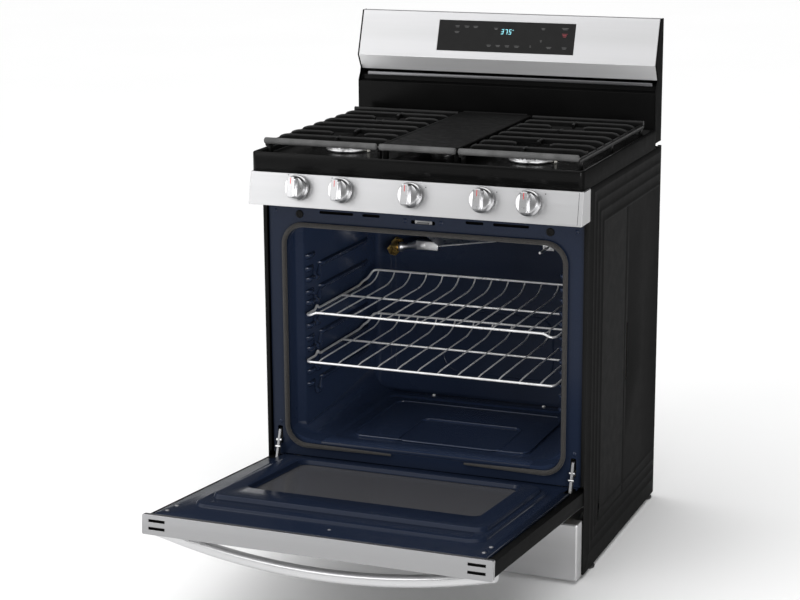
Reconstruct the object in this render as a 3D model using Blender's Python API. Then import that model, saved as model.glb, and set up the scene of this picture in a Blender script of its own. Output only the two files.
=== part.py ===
"""Freestanding 30-inch gas range with five surface burners, an oven with two racks, and a storage drawer.

Units are metres, +Z is up and the range faces -Y. The origin is on the floor, under the middle of the
whole range with its oven door open. The door is modelled open, on its stop.
"""

import math

import bmesh
import bpy
from mathutils import Vector

# Body
HALF_WIDTH = 0.380
BODY_BOTTOM = 0.010
BODY_TOP = 0.8705
BODY_FRONT = 0.001
BODY_BACK = 0.603
SHEET = 0.0012
GAP = 0.0003

# Cooktop
COOKTOP_FRONT = -0.049
COOKTOP_BACK = 0.550
COOKTOP_TOP = 0.915
WELL_FLOOR = 0.9025
SKIRT_BOTTOM = 0.872

# Control panel, whose face leans forward towards its lower edge
PANEL_HALF = 0.382
PANEL_TOP = 0.8715
PANEL_BOTTOM = 0.800
PANEL_LEAN = 0.015
PANEL_DEPTH = 0.048
KNOB_X = (-0.265, -0.162, 0.0, 0.162, 0.265)
KNOB_HEIGHT = 0.842
KNOB_STANDOFF = 0.0048
KNOB_RADIUS = 0.028

# Gas line: along the panel, back along the right side, and down to the regulator
MANIFOLD_Z = 0.833
GAS_RUN_X = 0.352
REGULATOR_X = 0.306
REGULATOR_Y = 0.573
REGULATOR_Z = 0.150

# Oven
FRAME_HALF = 0.3675
FRAME_FRONT = 0.009
FRAME_BOTTOM = 0.207
FRAME_TOP = 0.866
CAVITY_HALF = 0.305
MOUTH_HALF = 0.3225
CAVITY_BOTTOM = 0.2115
CAVITY_TOP = 0.758
CAVITY_BACK = 0.490
CORNER_RADIUS = 0.050
RACK_LEVEL_LOWEST = 0.3640
RACK_LEVEL_STEP = 0.0542
RACK_LEVEL_COUNT = 6
FLOOR_TOP = 0.2440
FLOOR_SHEET = 0.0012
ELBOW_Y = 0.446

# Oven door, in its own frame: origin on the hinge pins, +Y into the oven and +Z up when closed
HINGE_Y = -0.010
HINGE_Z = 0.201
DOOR_OPEN_ANGLE = math.radians(85)
DOOR_HALF = 0.375
DOOR_FACE = -0.036
DOOR_INNER = 0.005
DOOR_LOW = -0.050
DOOR_HIGH = 0.593
DOOR_TRIM = 0.012
HINGE_X = 0.350

# Storage drawer
DRAWER_HALF = 0.375
DRAWER_FRONT = -0.039
DRAWER_TOP = 0.138
DRAWER_BOTTOM = 0.008
DRAWER_DEPTH = 0.036

# Backguard
GUARD_HALF = 0.3735
GUARD_BACK = 0.607
GUARD_TOP = 1.168
GUARD_BOTTOM = 0.880
GUARD_LIP_Y = 0.549
GUARD_LIP_Z = 1.062
GUARD_UNDERCUT_Y = 0.569
GUARD_UNDERCUT_Z = 1.027
GUARD_TOP_Y = 0.585
SPLASH_FRONT = 0.552
DISPLAY_HALF = 0.171
DISPLAY_LOW = 1.080
DISPLAY_HIGH = 1.150

# Grates
GRATE_TOP = 0.942
GRATE_FRONT_BAR_Y = -0.019
GRATE_BACK_BAR_Y = 0.496
GRATE_OUTER = 0.362
GRATE_SEAM = 0.0925
GRATE_BAR_COUNT = 7
GRATE_FIRST_BAR_Y = 0.056
GRATE_BAR_LOW = 0.9285
GRATE_RAIL = 0.009
GRATE_RAIL_LOW = 0.9225
GRATE_RAIL_HIGH = 0.9335
GRATE_FRONT_BAR_Z = 0.936
GRATE_FRONT_BAR_RADIUS = 0.0072
BURNER_CLEAR = 0.042
OVAL_BURNER_Y = 0.245
BURNER_X = 0.217
BURNER_FRONT_Y = 0.114
BURNER_BACK_Y = 0.376


def clear_scene():
    for obj in list(bpy.data.objects):
        bpy.data.objects.remove(obj, do_unlink=True)


def make_material(name, colour, roughness, metallic=0.0):
    material = bpy.data.materials.new(name)
    material.use_nodes = True
    shader = material.node_tree.nodes["Principled BSDF"]
    shader.inputs["Base Color"].default_value = (*colour, 1.0)
    shader.inputs["Roughness"].default_value = roughness
    shader.inputs["Metallic"].default_value = metallic
    material.diffuse_color = (*colour, 1.0)
    return material


def object_from(name, bm, material, smooth_degrees=None):
    bmesh.ops.recalc_face_normals(bm, faces=bm.faces[:])
    mesh = bpy.data.meshes.new(name)
    bm.to_mesh(mesh)
    bm.free()
    if smooth_degrees:
        mesh.shade_smooth()
        mesh.set_sharp_from_angle(angle=math.radians(smooth_degrees))
    obj = bpy.data.objects.new(name, mesh)
    bpy.context.collection.objects.link(obj)
    if material:
        mesh.materials.append(material)
    return obj


def hide_helper(obj):
    obj.hide_render = True
    obj.display_type = "WIRE"
    return obj


def apply_boolean(obj, helper, operation):
    modifier = obj.modifiers.new(helper.name, "BOOLEAN")
    modifier.operation = operation
    modifier.object = hide_helper(helper)
    return obj


def cut(obj, helper):
    return apply_boolean(obj, helper, "DIFFERENCE")


def unite(obj, helper):
    return apply_boolean(obj, helper, "UNION")


def add_box(bm, low, high):
    """Adds a box between two corners to a bmesh."""
    corners = bmesh.ops.create_cube(bm, size=1.0)["verts"]
    for vert in corners:
        for axis in range(3):
            vert.co[axis] = high[axis] if vert.co[axis] > 0 else low[axis]


def make_boxes(name, boxes, material=None):
    bm = bmesh.new()
    for low, high in boxes:
        add_box(bm, low, high)
    return object_from(name, bm, material)


def mirrored(boxes):
    """The boxes and their copies on the other side of X = 0."""
    copies = [((-high[0], *low[1:]), (-low[0], *high[1:])) for low, high in boxes]
    return list(boxes) + copies


def rounded_rectangle(low, high, radius, steps=4):
    """Corner arcs of a rectangle in a plane, anticlockwise from the low corner, as (a, b) pairs."""
    centres = (
        (low[0] + radius, low[1] + radius, 180),
        (high[0] - radius, low[1] + radius, 270),
        (high[0] - radius, high[1] - radius, 0),
        (low[0] + radius, high[1] - radius, 90),
    )
    points = []
    for a, b, start in centres:
        for step in range(steps + 1):
            angle = math.radians(start + 90 * step / steps)
            points.append((a + radius * math.cos(angle), b + radius * math.sin(angle)))
    return points


def loop_xz(half, low, high, y, radius=0.002, steps=2):
    """A rounded rectangle that faces along Y."""
    return [(x, y, z) for x, z in rounded_rectangle((-half, low), (half, high), radius, steps)]


def loop_xy(half, front, back, z, radius=0.002, steps=2):
    """A rounded rectangle that faces along Z."""
    return [(x, y, z) for x, y in rounded_rectangle((-half, front), (half, back), radius, steps)]


def loft(name, loops, material, ring=False, smooth_degrees=None):
    """Joins each loop of points to the next: capped at both ends, or closed back on itself as a ring."""
    bm = bmesh.new()
    rows = [[bm.verts.new(point) for point in loop] for loop in loops]
    count = len(rows[0])
    pairs = list(zip(rows, rows[1:]))
    if ring:
        pairs.append((rows[-1], rows[0]))
    else:
        bm.faces.new(rows[0])
        bm.faces.new(rows[-1])
    for near, far in pairs:
        for i in range(count):
            j = (i + 1) % count
            bm.faces.new((near[i], near[j], far[j], far[i]))
    return object_from(name, bm, material, smooth_degrees)


def plate(name, outline, holes, low_y, high_y, material):
    """A flat plate that faces along Y, from an outline and holes given as (x, z) pairs."""
    bm = bmesh.new()
    for points in [outline, *holes]:
        verts = [bm.verts.new((x, low_y, z)) for x, z in points]
        for i, vert in enumerate(verts):
            bm.edges.new((vert, verts[(i + 1) % len(verts)]))
    bmesh.ops.triangle_fill(bm, use_beauty=True, use_dissolve=False, edges=bm.edges[:])
    grown = bmesh.ops.extrude_face_region(bm, geom=bm.faces[:])["geom"]
    moved = [item for item in grown if isinstance(item, bmesh.types.BMVert)]
    bmesh.ops.translate(bm, verts=moved, vec=(0, high_y - low_y, 0))
    return object_from(name, bm, material)


def prism_x(name, outline, low_x, high_x, material, smooth_degrees=None):
    """An outline of (y, z) pairs drawn out along X."""
    loops = [[(x, y, z) for y, z in outline] for x in (low_x, high_x)]
    return loft(name, loops, material, smooth_degrees=smooth_degrees)


def prism_z(name, outline, low_z, high_z, material, smooth_degrees=None):
    """An outline of (x, y) pairs drawn out along Z."""
    loops = [[(x, y, z) for x, y in outline] for z in (low_z, high_z)]
    return loft(name, loops, material, smooth_degrees=smooth_degrees)


def circle(centre, radius, count=20):
    """Points round a circle in a plane."""
    angles = [2 * math.pi * i / count for i in range(count)]
    return [(centre[0] + radius * math.cos(a), centre[1] + radius * math.sin(a)) for a in angles]


def stadium(half_width, half_length, centre_y, steps=6):
    """An outline with straight sides along Y and half-round ends."""
    reach = half_length - half_width
    points = []
    for centre, start in ((reach, 0), (-reach, 180)):
        for step in range(steps + 1):
            angle = math.radians(start + 180 * step / steps)
            points.append(
                (half_width * math.cos(angle), centre_y + centre + half_width * math.sin(angle))
            )
    return points


def lathe(name, profile, centre, material, segments=16):
    """Turns (radius, height) pairs about a vertical axis through centre."""
    loops = [
        [(centre[0] + x, centre[1] + y, centre[2] + height) for x, y in circle((0, 0), radius, segments)]
        for radius, height in profile
    ]
    return loft(name, loops, material, smooth_degrees=35)


def add_tube(bm, points, radius, sides=6, closed=False):
    """Adds a tube along a path to a bmesh, with mitred corners and flat ends."""
    path = [Vector(point) for point in points]
    count = len(path)
    directions = [(path[(i + 1) % count] - path[i]).normalized() for i in range(count)]
    side = directions[0].orthogonal().normalized()
    rows = []
    for i, point in enumerate(path):
        before = directions[i - 1] if i or closed else directions[0]
        after = directions[i] if i < count - 1 or closed else directions[i - 1]
        tangent = (before + after).normalized()
        side = (side - tangent * side.dot(tangent)).normalized()
        across = tangent.cross(side)
        stretch = 1 / max(0.5, tangent.dot(after))
        bend = after - before
        outward = bend.normalized() if bend.length > 1e-6 else Vector((0, 0, 0))
        row = []
        for k in range(sides):
            angle = 2 * math.pi * (k + 0.5) / sides
            offset = (side * math.cos(angle) + across * math.sin(angle)) * radius
            offset += outward * offset.dot(outward) * (stretch - 1)
            row.append(bm.verts.new(point + offset))
        rows.append(row)
    pairs = list(zip(rows, rows[1:]))
    if closed:
        pairs.append((rows[-1], rows[0]))
    else:
        bm.faces.new(rows[0])
        bm.faces.new(rows[-1])
    for near, far in pairs:
        for k in range(sides):
            m = (k + 1) % sides
            bm.faces.new((near[k], near[m], far[m], far[k]))


def make_tubes(name, paths, radius, material=None, sides=6, closed=False):
    bm = bmesh.new()
    for points in paths:
        add_tube(bm, points, radius, sides, closed)
    return object_from(name, bm, material, 50)


def make_pivot(name, location, tilt=0.0):
    """An empty on a joint's axis, turned about X."""
    pivot = bpy.data.objects.new(name, None)
    pivot.location = location
    pivot.rotation_euler = (tilt, 0, 0)
    bpy.context.collection.objects.link(pivot)
    return pivot


def attach(pivot, *objects):
    for obj in objects:
        obj.parent = pivot


# Body shell


def make_side_panel(name, side, material):
    """A steel side with flanges turned in front and back, the front one notched for the door's lower end."""
    flange = 0.011
    outer = HALF_WIDTH
    inner = HALF_WIDTH - SHEET
    turned = HALF_WIDTH - flange
    outline = [
        (turned, BODY_FRONT),
        (outer, BODY_FRONT),
        (outer, BODY_BACK),
        (turned, BODY_BACK),
        (turned, BODY_BACK - SHEET),
        (inner, BODY_BACK - SHEET),
        (inner, BODY_FRONT + SHEET),
        (turned, BODY_FRONT + SHEET),
    ]
    outline = [(side * x, y) for x, y in outline]
    panel = prism_z(name, outline, BODY_BOTTOM, BODY_TOP, material)
    near, far = sorted((side * (turned - 0.004), side * (inner - 0.0001)))
    notch = [((near, BODY_FRONT - 0.01, 0.132), (far, BODY_FRONT + 0.01, FRAME_BOTTOM + 0.005))]
    return cut(panel, make_boxes(f"{name}_notch", notch))


def make_rear_panel(material):
    half = HALF_WIDTH - 0.004
    outline = rounded_rectangle((-half, 0.030), (half, 0.868), 0.004, 1)
    inlet_window = rounded_rectangle((0.235, 0.060), (0.350, 0.185), 0.010, 2)
    vents = [
        rounded_rectangle((x - 0.045, 0.800), (x + 0.045, 0.808), 0.0035, 2)
        for x in (-0.24, -0.12, 0.0, 0.12, 0.24)
    ]
    back = BODY_BACK - SHEET - GAP
    return plate("rear_panel", outline, [inlet_window, *vents], back - SHEET, back, material)


def make_base_frame(material):
    """A flat ring of folded steel with an upright on each side that guides the drawer."""
    outer = HALF_WIDTH - 0.004
    inner = 0.348
    front = 0.060
    back = 0.595
    low = BODY_BOTTOM + GAP
    loops = [
        loop_xy(outer, front, back, low),
        loop_xy(outer, front, back, low + 0.010),
        loop_xy(inner, front + 0.040, back - 0.040, low + 0.010),
        loop_xy(inner, front + 0.040, back - 0.040, low),
    ]
    frame = loft("base_frame", loops, material, ring=True)
    guides = mirrored([((0.3495, 0.064, low + 0.008), (0.3520, 0.560, 0.060))])
    frame = unite(frame, make_boxes("drawer_guides", guides))
    for index, (x, y) in enumerate(leg_places()):
        cut(frame, lathe(f"leg_hole_{index}", [(0.0065, -0.02), (0.0065, 0.02)], (x, y, low), None, 12))
    return frame


def leg_places():
    return [(x, y) for y in (0.080, 0.575) for x in (-0.362, 0.362)]


def make_levelling_leg(name, place, material):
    """A threaded foot, with its hexagon and shank in one turned piece."""
    profile = [
        (0.018, 0.0),
        (0.019, 0.002),
        (0.019, 0.005),
        (0.013, 0.0065),
        (0.013, BODY_BOTTOM - GAP),
        (0.0055, BODY_BOTTOM - GAP),
        (0.0055, 0.034),
    ]
    return lathe(name, profile, (*place, 0.0), material, 12)


def make_base_shield(material):
    """The plate between the oven and the drawer."""
    return make_boxes("oven_base_shield", [((-0.374, 0.062, 0.1425), (0.374, 0.540, 0.1445))], material)


# Cooktop and burners


def make_cooktop(material):
    """A drawn tray: skirt, narrow rim and recessed well, with a hole for each burner."""
    sheet = 0.0015
    outer = [
        (0.0, SKIRT_BOTTOM),
        (0.0, COOKTOP_TOP - 0.003),
        (0.003, COOKTOP_TOP),
        (0.009, COOKTOP_TOP - 0.001),
        (0.017, WELL_FLOOR),
    ]
    inner = [
        (0.0162, WELL_FLOOR - sheet),
        (0.0081, COOKTOP_TOP - 0.00235),
        (0.003 + sheet / 2, COOKTOP_TOP - sheet),
        (sheet, COOKTOP_TOP - 0.003 - sheet / 2),
        (sheet, SKIRT_BOTTOM),
    ]

    def rim_loop(inset, z):
        front = COOKTOP_FRONT + inset
        back = COOKTOP_BACK - inset
        return loop_xy(HALF_WIDTH - inset, front, back, z, 0.012 - inset * 0.3, 3)

    loops = [rim_loop(*row) for row in reversed(outer)] + [rim_loop(*row) for row in reversed(inner)]
    tray = loft("cooktop", loops, material, smooth_degrees=30)
    for index, (x, y) in enumerate(round_burner_places()):
        hole = lathe(f"burner_hole_{index}", [(0.026, -0.02), (0.026, 0.02)], (x, y, WELL_FLOOR), None, 16)
        cut(tray, hole)
    slot = prism_z("oval_burner_hole", stadium(0.020, 0.075, OVAL_BURNER_Y), 0.88, 0.92, None)
    return cut(tray, slot)


def round_burner_places():
    return [(x, y) for y in (BURNER_FRONT_Y, BURNER_BACK_Y) for x in (-BURNER_X, BURNER_X)]


def make_burner_base(name, place, radius, material):
    """A cast burner head on the well, with a throat through the cooktop."""
    seat = WELL_FLOOR + GAP
    profile = [
        (0.024, seat - 0.024),
        (0.024, seat),
        (radius, seat),
        (radius + 0.002, seat + 0.003),
        (radius - 0.004, seat + 0.006),
        (radius - 0.006, seat + 0.0135),
    ]
    return lathe(name, profile, (*place, 0.0), material, 18)


def make_burner_cap(name, place, radius, material):
    low = WELL_FLOOR + 0.0141
    profile = [
        (radius - 0.002, low),
        (radius, low + 0.002),
        (radius, low + 0.005),
        (radius - 0.004, low + 0.008),
    ]
    return lathe(name, profile, (*place, 0.0), material, 18)


def make_oval_burner(base_material, cap_material):
    seat = WELL_FLOOR + GAP
    throat = [[(x, y, z) for x, y in stadium(0.018, 0.073, OVAL_BURNER_Y)] for z in (seat - 0.022, seat)]
    head = [
        [(x, y, seat + rise) for x, y in stadium(half, long_half, OVAL_BURNER_Y)]
        for half, long_half, rise in ((0.033, 0.130, 0.0), (0.033, 0.130, 0.004), (0.028, 0.125, 0.0135))
    ]
    base = loft("burner_base_center", throat + head, base_material, smooth_degrees=35)
    low = seat + 0.0138
    rows = ((0.030, 0.127, 0.0), (0.031, 0.128, 0.004), (0.027, 0.124, 0.0075))
    loops = [[(x, y, low + rise) for x, y in stadium(a, b, OVAL_BURNER_Y)] for a, b, rise in rows]
    cap = loft("burner_cap_center", loops, cap_material, smooth_degrees=35)
    return base, cap


# Grates


def grate_bar_places():
    """Y of each bar between the front and the back bar."""
    pitch = (GRATE_BACK_BAR_Y - GRATE_FIRST_BAR_Y) / GRATE_BAR_COUNT
    return [GRATE_FIRST_BAR_Y + pitch * index for index in range(GRATE_BAR_COUNT)]


def grate_rail_boxes():
    """The low rail down each long edge of a grate."""
    front, back = GRATE_FRONT_BAR_Y + 0.004, GRATE_BACK_BAR_Y - 0.001
    return [
        ((x, front, GRATE_RAIL_LOW), (x + GRATE_RAIL, back, GRATE_RAIL_HIGH))
        for x in (GRATE_SEAM, GRATE_OUTER - GRATE_RAIL)
    ]


def grate_bar_boxes():
    """Cross bars, parted in the middle where they would cover a burner, and the back bar."""
    near, far = GRATE_SEAM + 0.0005, GRATE_OUTER - 0.0005
    half = 0.004
    boxes = []
    for y in grate_bar_places():
        over_burner = min(abs(y - BURNER_FRONT_Y), abs(y - BURNER_BACK_Y)) < 0.025
        if over_burner:
            spans = [(near, BURNER_X - BURNER_CLEAR), (BURNER_X + BURNER_CLEAR, far)]
        else:
            spans = [(near, far)]
        boxes += [((low, y - half, GRATE_BAR_LOW), (high, y + half, GRATE_TOP)) for low, high in spans]
    back = GRATE_BACK_BAR_Y
    boxes.append(((near, back - 0.005, GRATE_BAR_LOW - 0.004), (far, back + 0.005, GRATE_TOP + 0.0004)))
    return boxes


def grate_finger_boxes():
    """The fingers that point at each burner from its front and its back."""
    half = 0.0035
    boxes = []
    for burner_y in (BURNER_FRONT_Y, BURNER_BACK_Y):
        for start, end in ((-0.072, -0.040), (0.040, 0.072)):
            low = (BURNER_X - half, burner_y + start, GRATE_BAR_LOW + 0.001)
            boxes.append((low, (BURNER_X + half, burner_y + end, GRATE_TOP - 0.0006)))
    return boxes


def grate_foot_boxes():
    return [
        ((x + 0.001, y, WELL_FLOOR + GAP), (x + GRATE_RAIL - 0.001, y + 0.012, GRATE_RAIL_LOW + 0.0025))
        for x in (GRATE_SEAM, GRATE_OUTER - GRATE_RAIL)
        for y in (GRATE_FRONT_BAR_Y + 0.018, 0.232, GRATE_BACK_BAR_Y - 0.018)
    ]


def make_front_bar(name, low_x, high_x):
    """The round bar along the front of a grate."""
    ends = [(x, GRATE_FRONT_BAR_Y, GRATE_FRONT_BAR_Z) for x in (low_x, high_x)]
    return make_tubes(name, [ends], GRATE_FRONT_BAR_RADIUS, sides=8)


def make_side_grate(name, side, material):
    """A cast grate over a front and a rear burner: cross bars on two low rails, with feet."""
    near_rail, far_rail = grate_rail_boxes()
    grate = make_boxes(name, [near_rail], material)
    unite(grate, make_boxes(f"{name}_rail", [far_rail]))
    unite(grate, make_boxes(f"{name}_bars", grate_bar_boxes()))
    unite(grate, make_front_bar(f"{name}_front_bar", GRATE_SEAM + 0.0005, GRATE_OUTER - 0.0005))
    unite(grate, make_boxes(f"{name}_fingers", grate_finger_boxes()))
    unite(grate, make_boxes(f"{name}_feet", grate_foot_boxes()))
    if side < 0:
        for obj in [grate] + [modifier.object for modifier in grate.modifiers]:
            mirror_mesh(obj)
    return grate


def mirror_mesh(obj):
    """Turns a mesh into its mirror image in X = 0, keeping its faces outward."""
    for vert in obj.data.vertices:
        vert.co.x = -vert.co.x
    obj.data.flip_normals()


def make_griddle(material):
    """A flat cast plate between the two grates, over the oval burner, standing on feet."""
    half = GRATE_SEAM - 0.003
    front, back = GRATE_FRONT_BAR_Y, GRATE_BACK_BAR_Y
    boxes = [((-half, front + 0.014, 0.9335), (half, back + 0.004, GRATE_TOP - 0.0008))]
    griddle = make_boxes("griddle_plate", boxes, material)
    arms = mirrored([((0.0745, front, 0.9290), (half - 0.0005, front + 0.024, 0.9395))])
    unite(griddle, make_boxes("griddle_arms", arms))
    unite(griddle, make_front_bar("griddle_front_bar", 0.0005 - half, half - 0.0005))
    feet = [
        ((x - 0.0045, y, WELL_FLOOR + GAP), (x + 0.0045, y + 0.012, 0.9345))
        for x in (-half + 0.008, half - 0.008)
        for y in (front + 0.018, back - 0.012)
    ]
    return unite(griddle, make_boxes("griddle_feet", feet))


# Control panel, valves and knobs


def panel_tilt():
    return math.atan2(PANEL_LEAN, PANEL_TOP - PANEL_BOTTOM)


def panel_face_y(z):
    return COOKTOP_FRONT - PANEL_LEAN * (PANEL_TOP - z) / (PANEL_TOP - PANEL_BOTTOM)


def make_control_panel(material):
    """A folded stainless panel, open at the back, with a hole for each valve stem."""
    def panel_loop(inset, offset, back=None):
        low, high = PANEL_BOTTOM + inset, PANEL_TOP - inset
        corners = loop_xz(PANEL_HALF - inset, low, high, 0.0, 0.001, 1)
        return [(x, back if back is not None else panel_face_y(z) + offset, z) for x, _, z in corners]

    back = COOKTOP_FRONT + PANEL_DEPTH
    loops = [
        panel_loop(0.0, 0.0),
        panel_loop(0.0, 0.0, back),
        panel_loop(SHEET, 0.0, back),
        panel_loop(SHEET, SHEET),
    ]
    panel = loft("control_panel", loops, material)
    for index, x in enumerate(KNOB_X):
        hole = lathe(f"stem_hole_{index}", [(0.0065, -0.02), (0.0065, 0.02)], (0, 0, 0), None, 12)
        attach(knob_pivot(f"stem_hole_{index}_axis", x), hole)
        cut(panel, hole)
    return panel


def knob_pivot(name, x):
    """An empty on the panel face whose +Z points out along a knob's axis."""
    return make_pivot(name, (x, panel_face_y(KNOB_HEIGHT), KNOB_HEIGHT), math.radians(90) - panel_tilt())


def make_gas_manifold(material):
    """The feed pipe behind the panel, with five valve bodies on it, and its run down the right side."""
    manifold_y, manifold_z = -0.006, MANIFOLD_Z
    run_x = GAS_RUN_X
    path = [
        (-0.300, manifold_y, manifold_z),
        (run_x - 0.008, manifold_y, manifold_z),
        (run_x, manifold_y + 0.008, manifold_z),
        (run_x, REGULATOR_Y - 0.008, manifold_z),
        (run_x, REGULATOR_Y, manifold_z - 0.008),
        (run_x, REGULATOR_Y, REGULATOR_Z + 0.008),
        (run_x - 0.005, REGULATOR_Y, REGULATOR_Z),
        (run_x - 0.013, REGULATOR_Y, REGULATOR_Z),
    ]
    manifold = make_tubes("gas_manifold", [path], 0.0065, material, sides=8)
    for index, x in enumerate(KNOB_X):
        body = lathe(f"valve_body_{index}", [(0.010, -0.055), (0.011, -0.018)], (0, 0, 0), None, 12)
        attach(knob_pivot(f"valve_{index}_axis", x), body)
        unite(manifold, body)
    for index, x in enumerate(KNOB_X):
        bore = lathe(f"valve_bore_{index}", [(0.0050, -0.042), (0.0050, -0.010)], (0, 0, 0), None, 12)
        attach(knob_pivot(f"bore_{index}_axis", x), bore)
        cut(manifold, bore)
    return manifold


def make_valve_stem(name, material):
    """The sprung shaft that a knob sits on."""
    profile = [(0.0042, -0.036), (0.0042, 0.0128), (0.0036, 0.0134)]
    return lathe(name, profile, (0, 0, 0), material, 10)


def make_knob(name, material):
    """A turned knob: a skirt, a drum and a tall bar grip, with a blind socket for the stem."""
    low = KNOB_STANDOFF
    profile = [
        (0.0046, low + 0.0090),
        (0.0046, low),
        (KNOB_RADIUS - 0.002, low),
        (KNOB_RADIUS, low + 0.002),
        (KNOB_RADIUS, low + 0.006),
        (KNOB_RADIUS - 0.004, low + 0.009),
        (KNOB_RADIUS - 0.005, low + 0.020),
    ]
    knob = lathe(name, profile, (0, 0, 0), material, 18)
    grip = rounded_rectangle((-0.0090, -0.0228), (0.0090, 0.0228), 0.005, 2)
    top = rounded_rectangle((-0.0075, -0.0218), (0.0075, 0.0218), 0.004, 2)
    loops = [
        [(x, y, low + 0.015) for x, y in grip],
        [(x, y, low + 0.036) for x, y in grip],
        [(x, y, low + 0.038) for x, y in top],
    ]
    return unite(knob, loft(f"{name}_grip", loops, None))


# Oven


def make_front_frame(material):
    """The enamelled face of the oven: mouth, hinge slots, vent slots and latch slot."""
    outline = rounded_rectangle((-FRAME_HALF, FRAME_BOTTOM), (FRAME_HALF, FRAME_TOP), 0.003, 1)
    mouth = rounded_rectangle(
        (-MOUTH_HALF, CAVITY_BOTTOM + 0.0245), (MOUTH_HALF, CAVITY_TOP - 0.016), CORNER_RADIUS, 5
    )
    holes = [mouth]
    for side in (-1, 1):
        hinge = sorted((side * (HINGE_X - 0.006), side * (HINGE_X + 0.006)))
        holes.append(rounded_rectangle((hinge[0], 0.2300), (hinge[1], 0.2720), 0.002, 1))
        for near, far in ((0.100, 0.141), (0.163, 0.244)):
            slot = sorted((side * near, side * far))
            holes.append(rounded_rectangle((slot[0], 0.7740), (slot[1], 0.7800), 0.0025, 2))
    holes.append(rounded_rectangle((-0.026, 0.7660), (0.030, 0.7740), 0.003, 2))
    holes.append(circle((GAS_RUN_X, MANIFOLD_Z), 0.009, 10))
    return plate("front_frame", outline, holes, FRAME_FRONT, FRAME_FRONT + 0.0015, material)


def make_oven_liner(material):
    """The oven cavity: a box that widens at its mouth, with pressed rack guides on both side walls."""
    front = FRAME_FRONT + 0.0018
    low, high = CAVITY_BOTTOM, CAVITY_TOP
    outer_low, outer_high = low - SHEET, high + SHEET

    def liner_loop(half, y, lowest, highest):
        return loop_xz(half, lowest, highest, y, CORNER_RADIUS - 0.015, 3)

    wide = [(CAVITY_HALF, CAVITY_BACK), (CAVITY_HALF, 0.058), (MOUTH_HALF, 0.046), (MOUTH_HALF, front)]
    outside = [(CAVITY_HALF, CAVITY_BACK + SHEET), *wide[1:]]
    loops = [liner_loop(half + SHEET, y, outer_low, outer_high) for half, y in outside]
    loops += [liner_loop(half, y, low, high) for half, y in reversed(wide)]
    liner = loft("oven_liner", loops, material)
    unite(liner, make_boxes("rack_guides", mirrored(rack_guide_boxes())))
    unite(liner, make_boxes("floor_ledges", mirrored([floor_ledge_box()])))
    for name, place, radius in gas_passages():
        cut(liner, back_wall_cutter(f"liner_{name}", place, radius))
    return liner


def rack_level(index):
    """Height of the ledge that a rack rests on."""
    return RACK_LEVEL_LOWEST + RACK_LEVEL_STEP * index


def rack_guide_boxes():
    """A long ledge and a short front stop for each rack level, on the +X wall."""
    boxes = []
    for index in range(RACK_LEVEL_COUNT):
        top = rack_level(index)
        wall = CAVITY_HALF + SHEET / 2
        boxes.append(((CAVITY_HALF - 0.012, 0.060, top - 0.009), (wall, 0.425, top)))
        boxes.append(((CAVITY_HALF - 0.0095, 0.063, top + 0.0225), (wall, 0.110, top + 0.0300)))
    return boxes


def floor_ledge_box():
    """The ledge on the +X wall that the oven floor lies on."""
    top = FLOOR_TOP - FLOOR_SHEET - GAP
    return (CAVITY_HALF - 0.012, 0.062, top - 0.004), (CAVITY_HALF + SHEET / 2, 0.460, top)


def gas_passages():
    """Name, (x, z) and radius of each hole through the oven's back wall."""
    return [
        ("broil_gas_hole", (-0.245, 0.612), 0.0115),
        ("bake_gas_hole", (-0.060, 0.2230), 0.0095),
        ("probe_hole", (0.138, 0.629), 0.0045),
    ]


def back_wall_cutter(name, place, radius):
    x, z = place
    loops = [
        [(x + a, y, z + b) for a, b in circle((0, 0), radius, 12)]
        for y in (CAVITY_BACK - 0.02, CAVITY_BACK + 0.08)
    ]
    return loft(name, loops, None)


def make_oven_floor(material):
    """The lift-out floor over the bake burner, with a raised rectangle pressed in its middle."""
    middle = 0.245
    high, low = FLOOR_TOP, FLOOR_TOP - 0.0055
    rows = [
        (0.100, 0.085, high + 0.0005),
        (0.112, 0.097, low),
        (0.236, 0.178, low),
        (0.250, 0.192, high),
        (0.303, 0.222, high),
    ]
    top = [loop_xy(half, middle - reach, middle + reach, z, 0.020, 3) for half, reach, z in rows]
    under = [
        loop_xy(half + 0.0004, middle - reach - 0.0004, middle + reach + 0.0004, z - FLOOR_SHEET, 0.020, 3)
        for half, reach, z in reversed(rows)
    ]
    return loft("oven_floor", top + under, material, smooth_degrees=25)


def make_gasket(material):
    """A tubular seal round the oven mouth, closed along its bottom except for a short air gap."""
    half, low, high, radius = 0.3295, 0.2330, 0.7475, 0.052
    corners = rounded_rectangle((-half, low), (half, high), radius, 5)
    path = [(0.100, low), *corners[6:], *corners[:6], (-0.075, low)]
    points = [(x, 0.0025, z) for x, z in path]
    return make_tubes("door_gasket", [points], 0.0058, material, sides=6)


def make_insulation(material):
    """The fibre blanket round the oven cavity."""
    clearance = 0.010
    outer = 0.343
    front, back = 0.064, 0.545
    loops = [
        loop_xz(outer, 0.160, 0.795, back),
        loop_xz(outer, 0.160, 0.795, front),
        loop_xz(CAVITY_HALF + 0.003, CAVITY_BOTTOM - 0.004, CAVITY_TOP + 0.004, front),
        loop_xz(CAVITY_HALF + 0.003, CAVITY_BOTTOM - 0.004, CAVITY_TOP + 0.004, CAVITY_BACK + clearance),
    ]
    blanket = loft("oven_insulation", loops, material)
    for name, place, radius in gas_passages():
        cut(blanket, back_wall_cutter(f"blanket_{name}", place, radius + 0.004))
    return blanket


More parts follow.
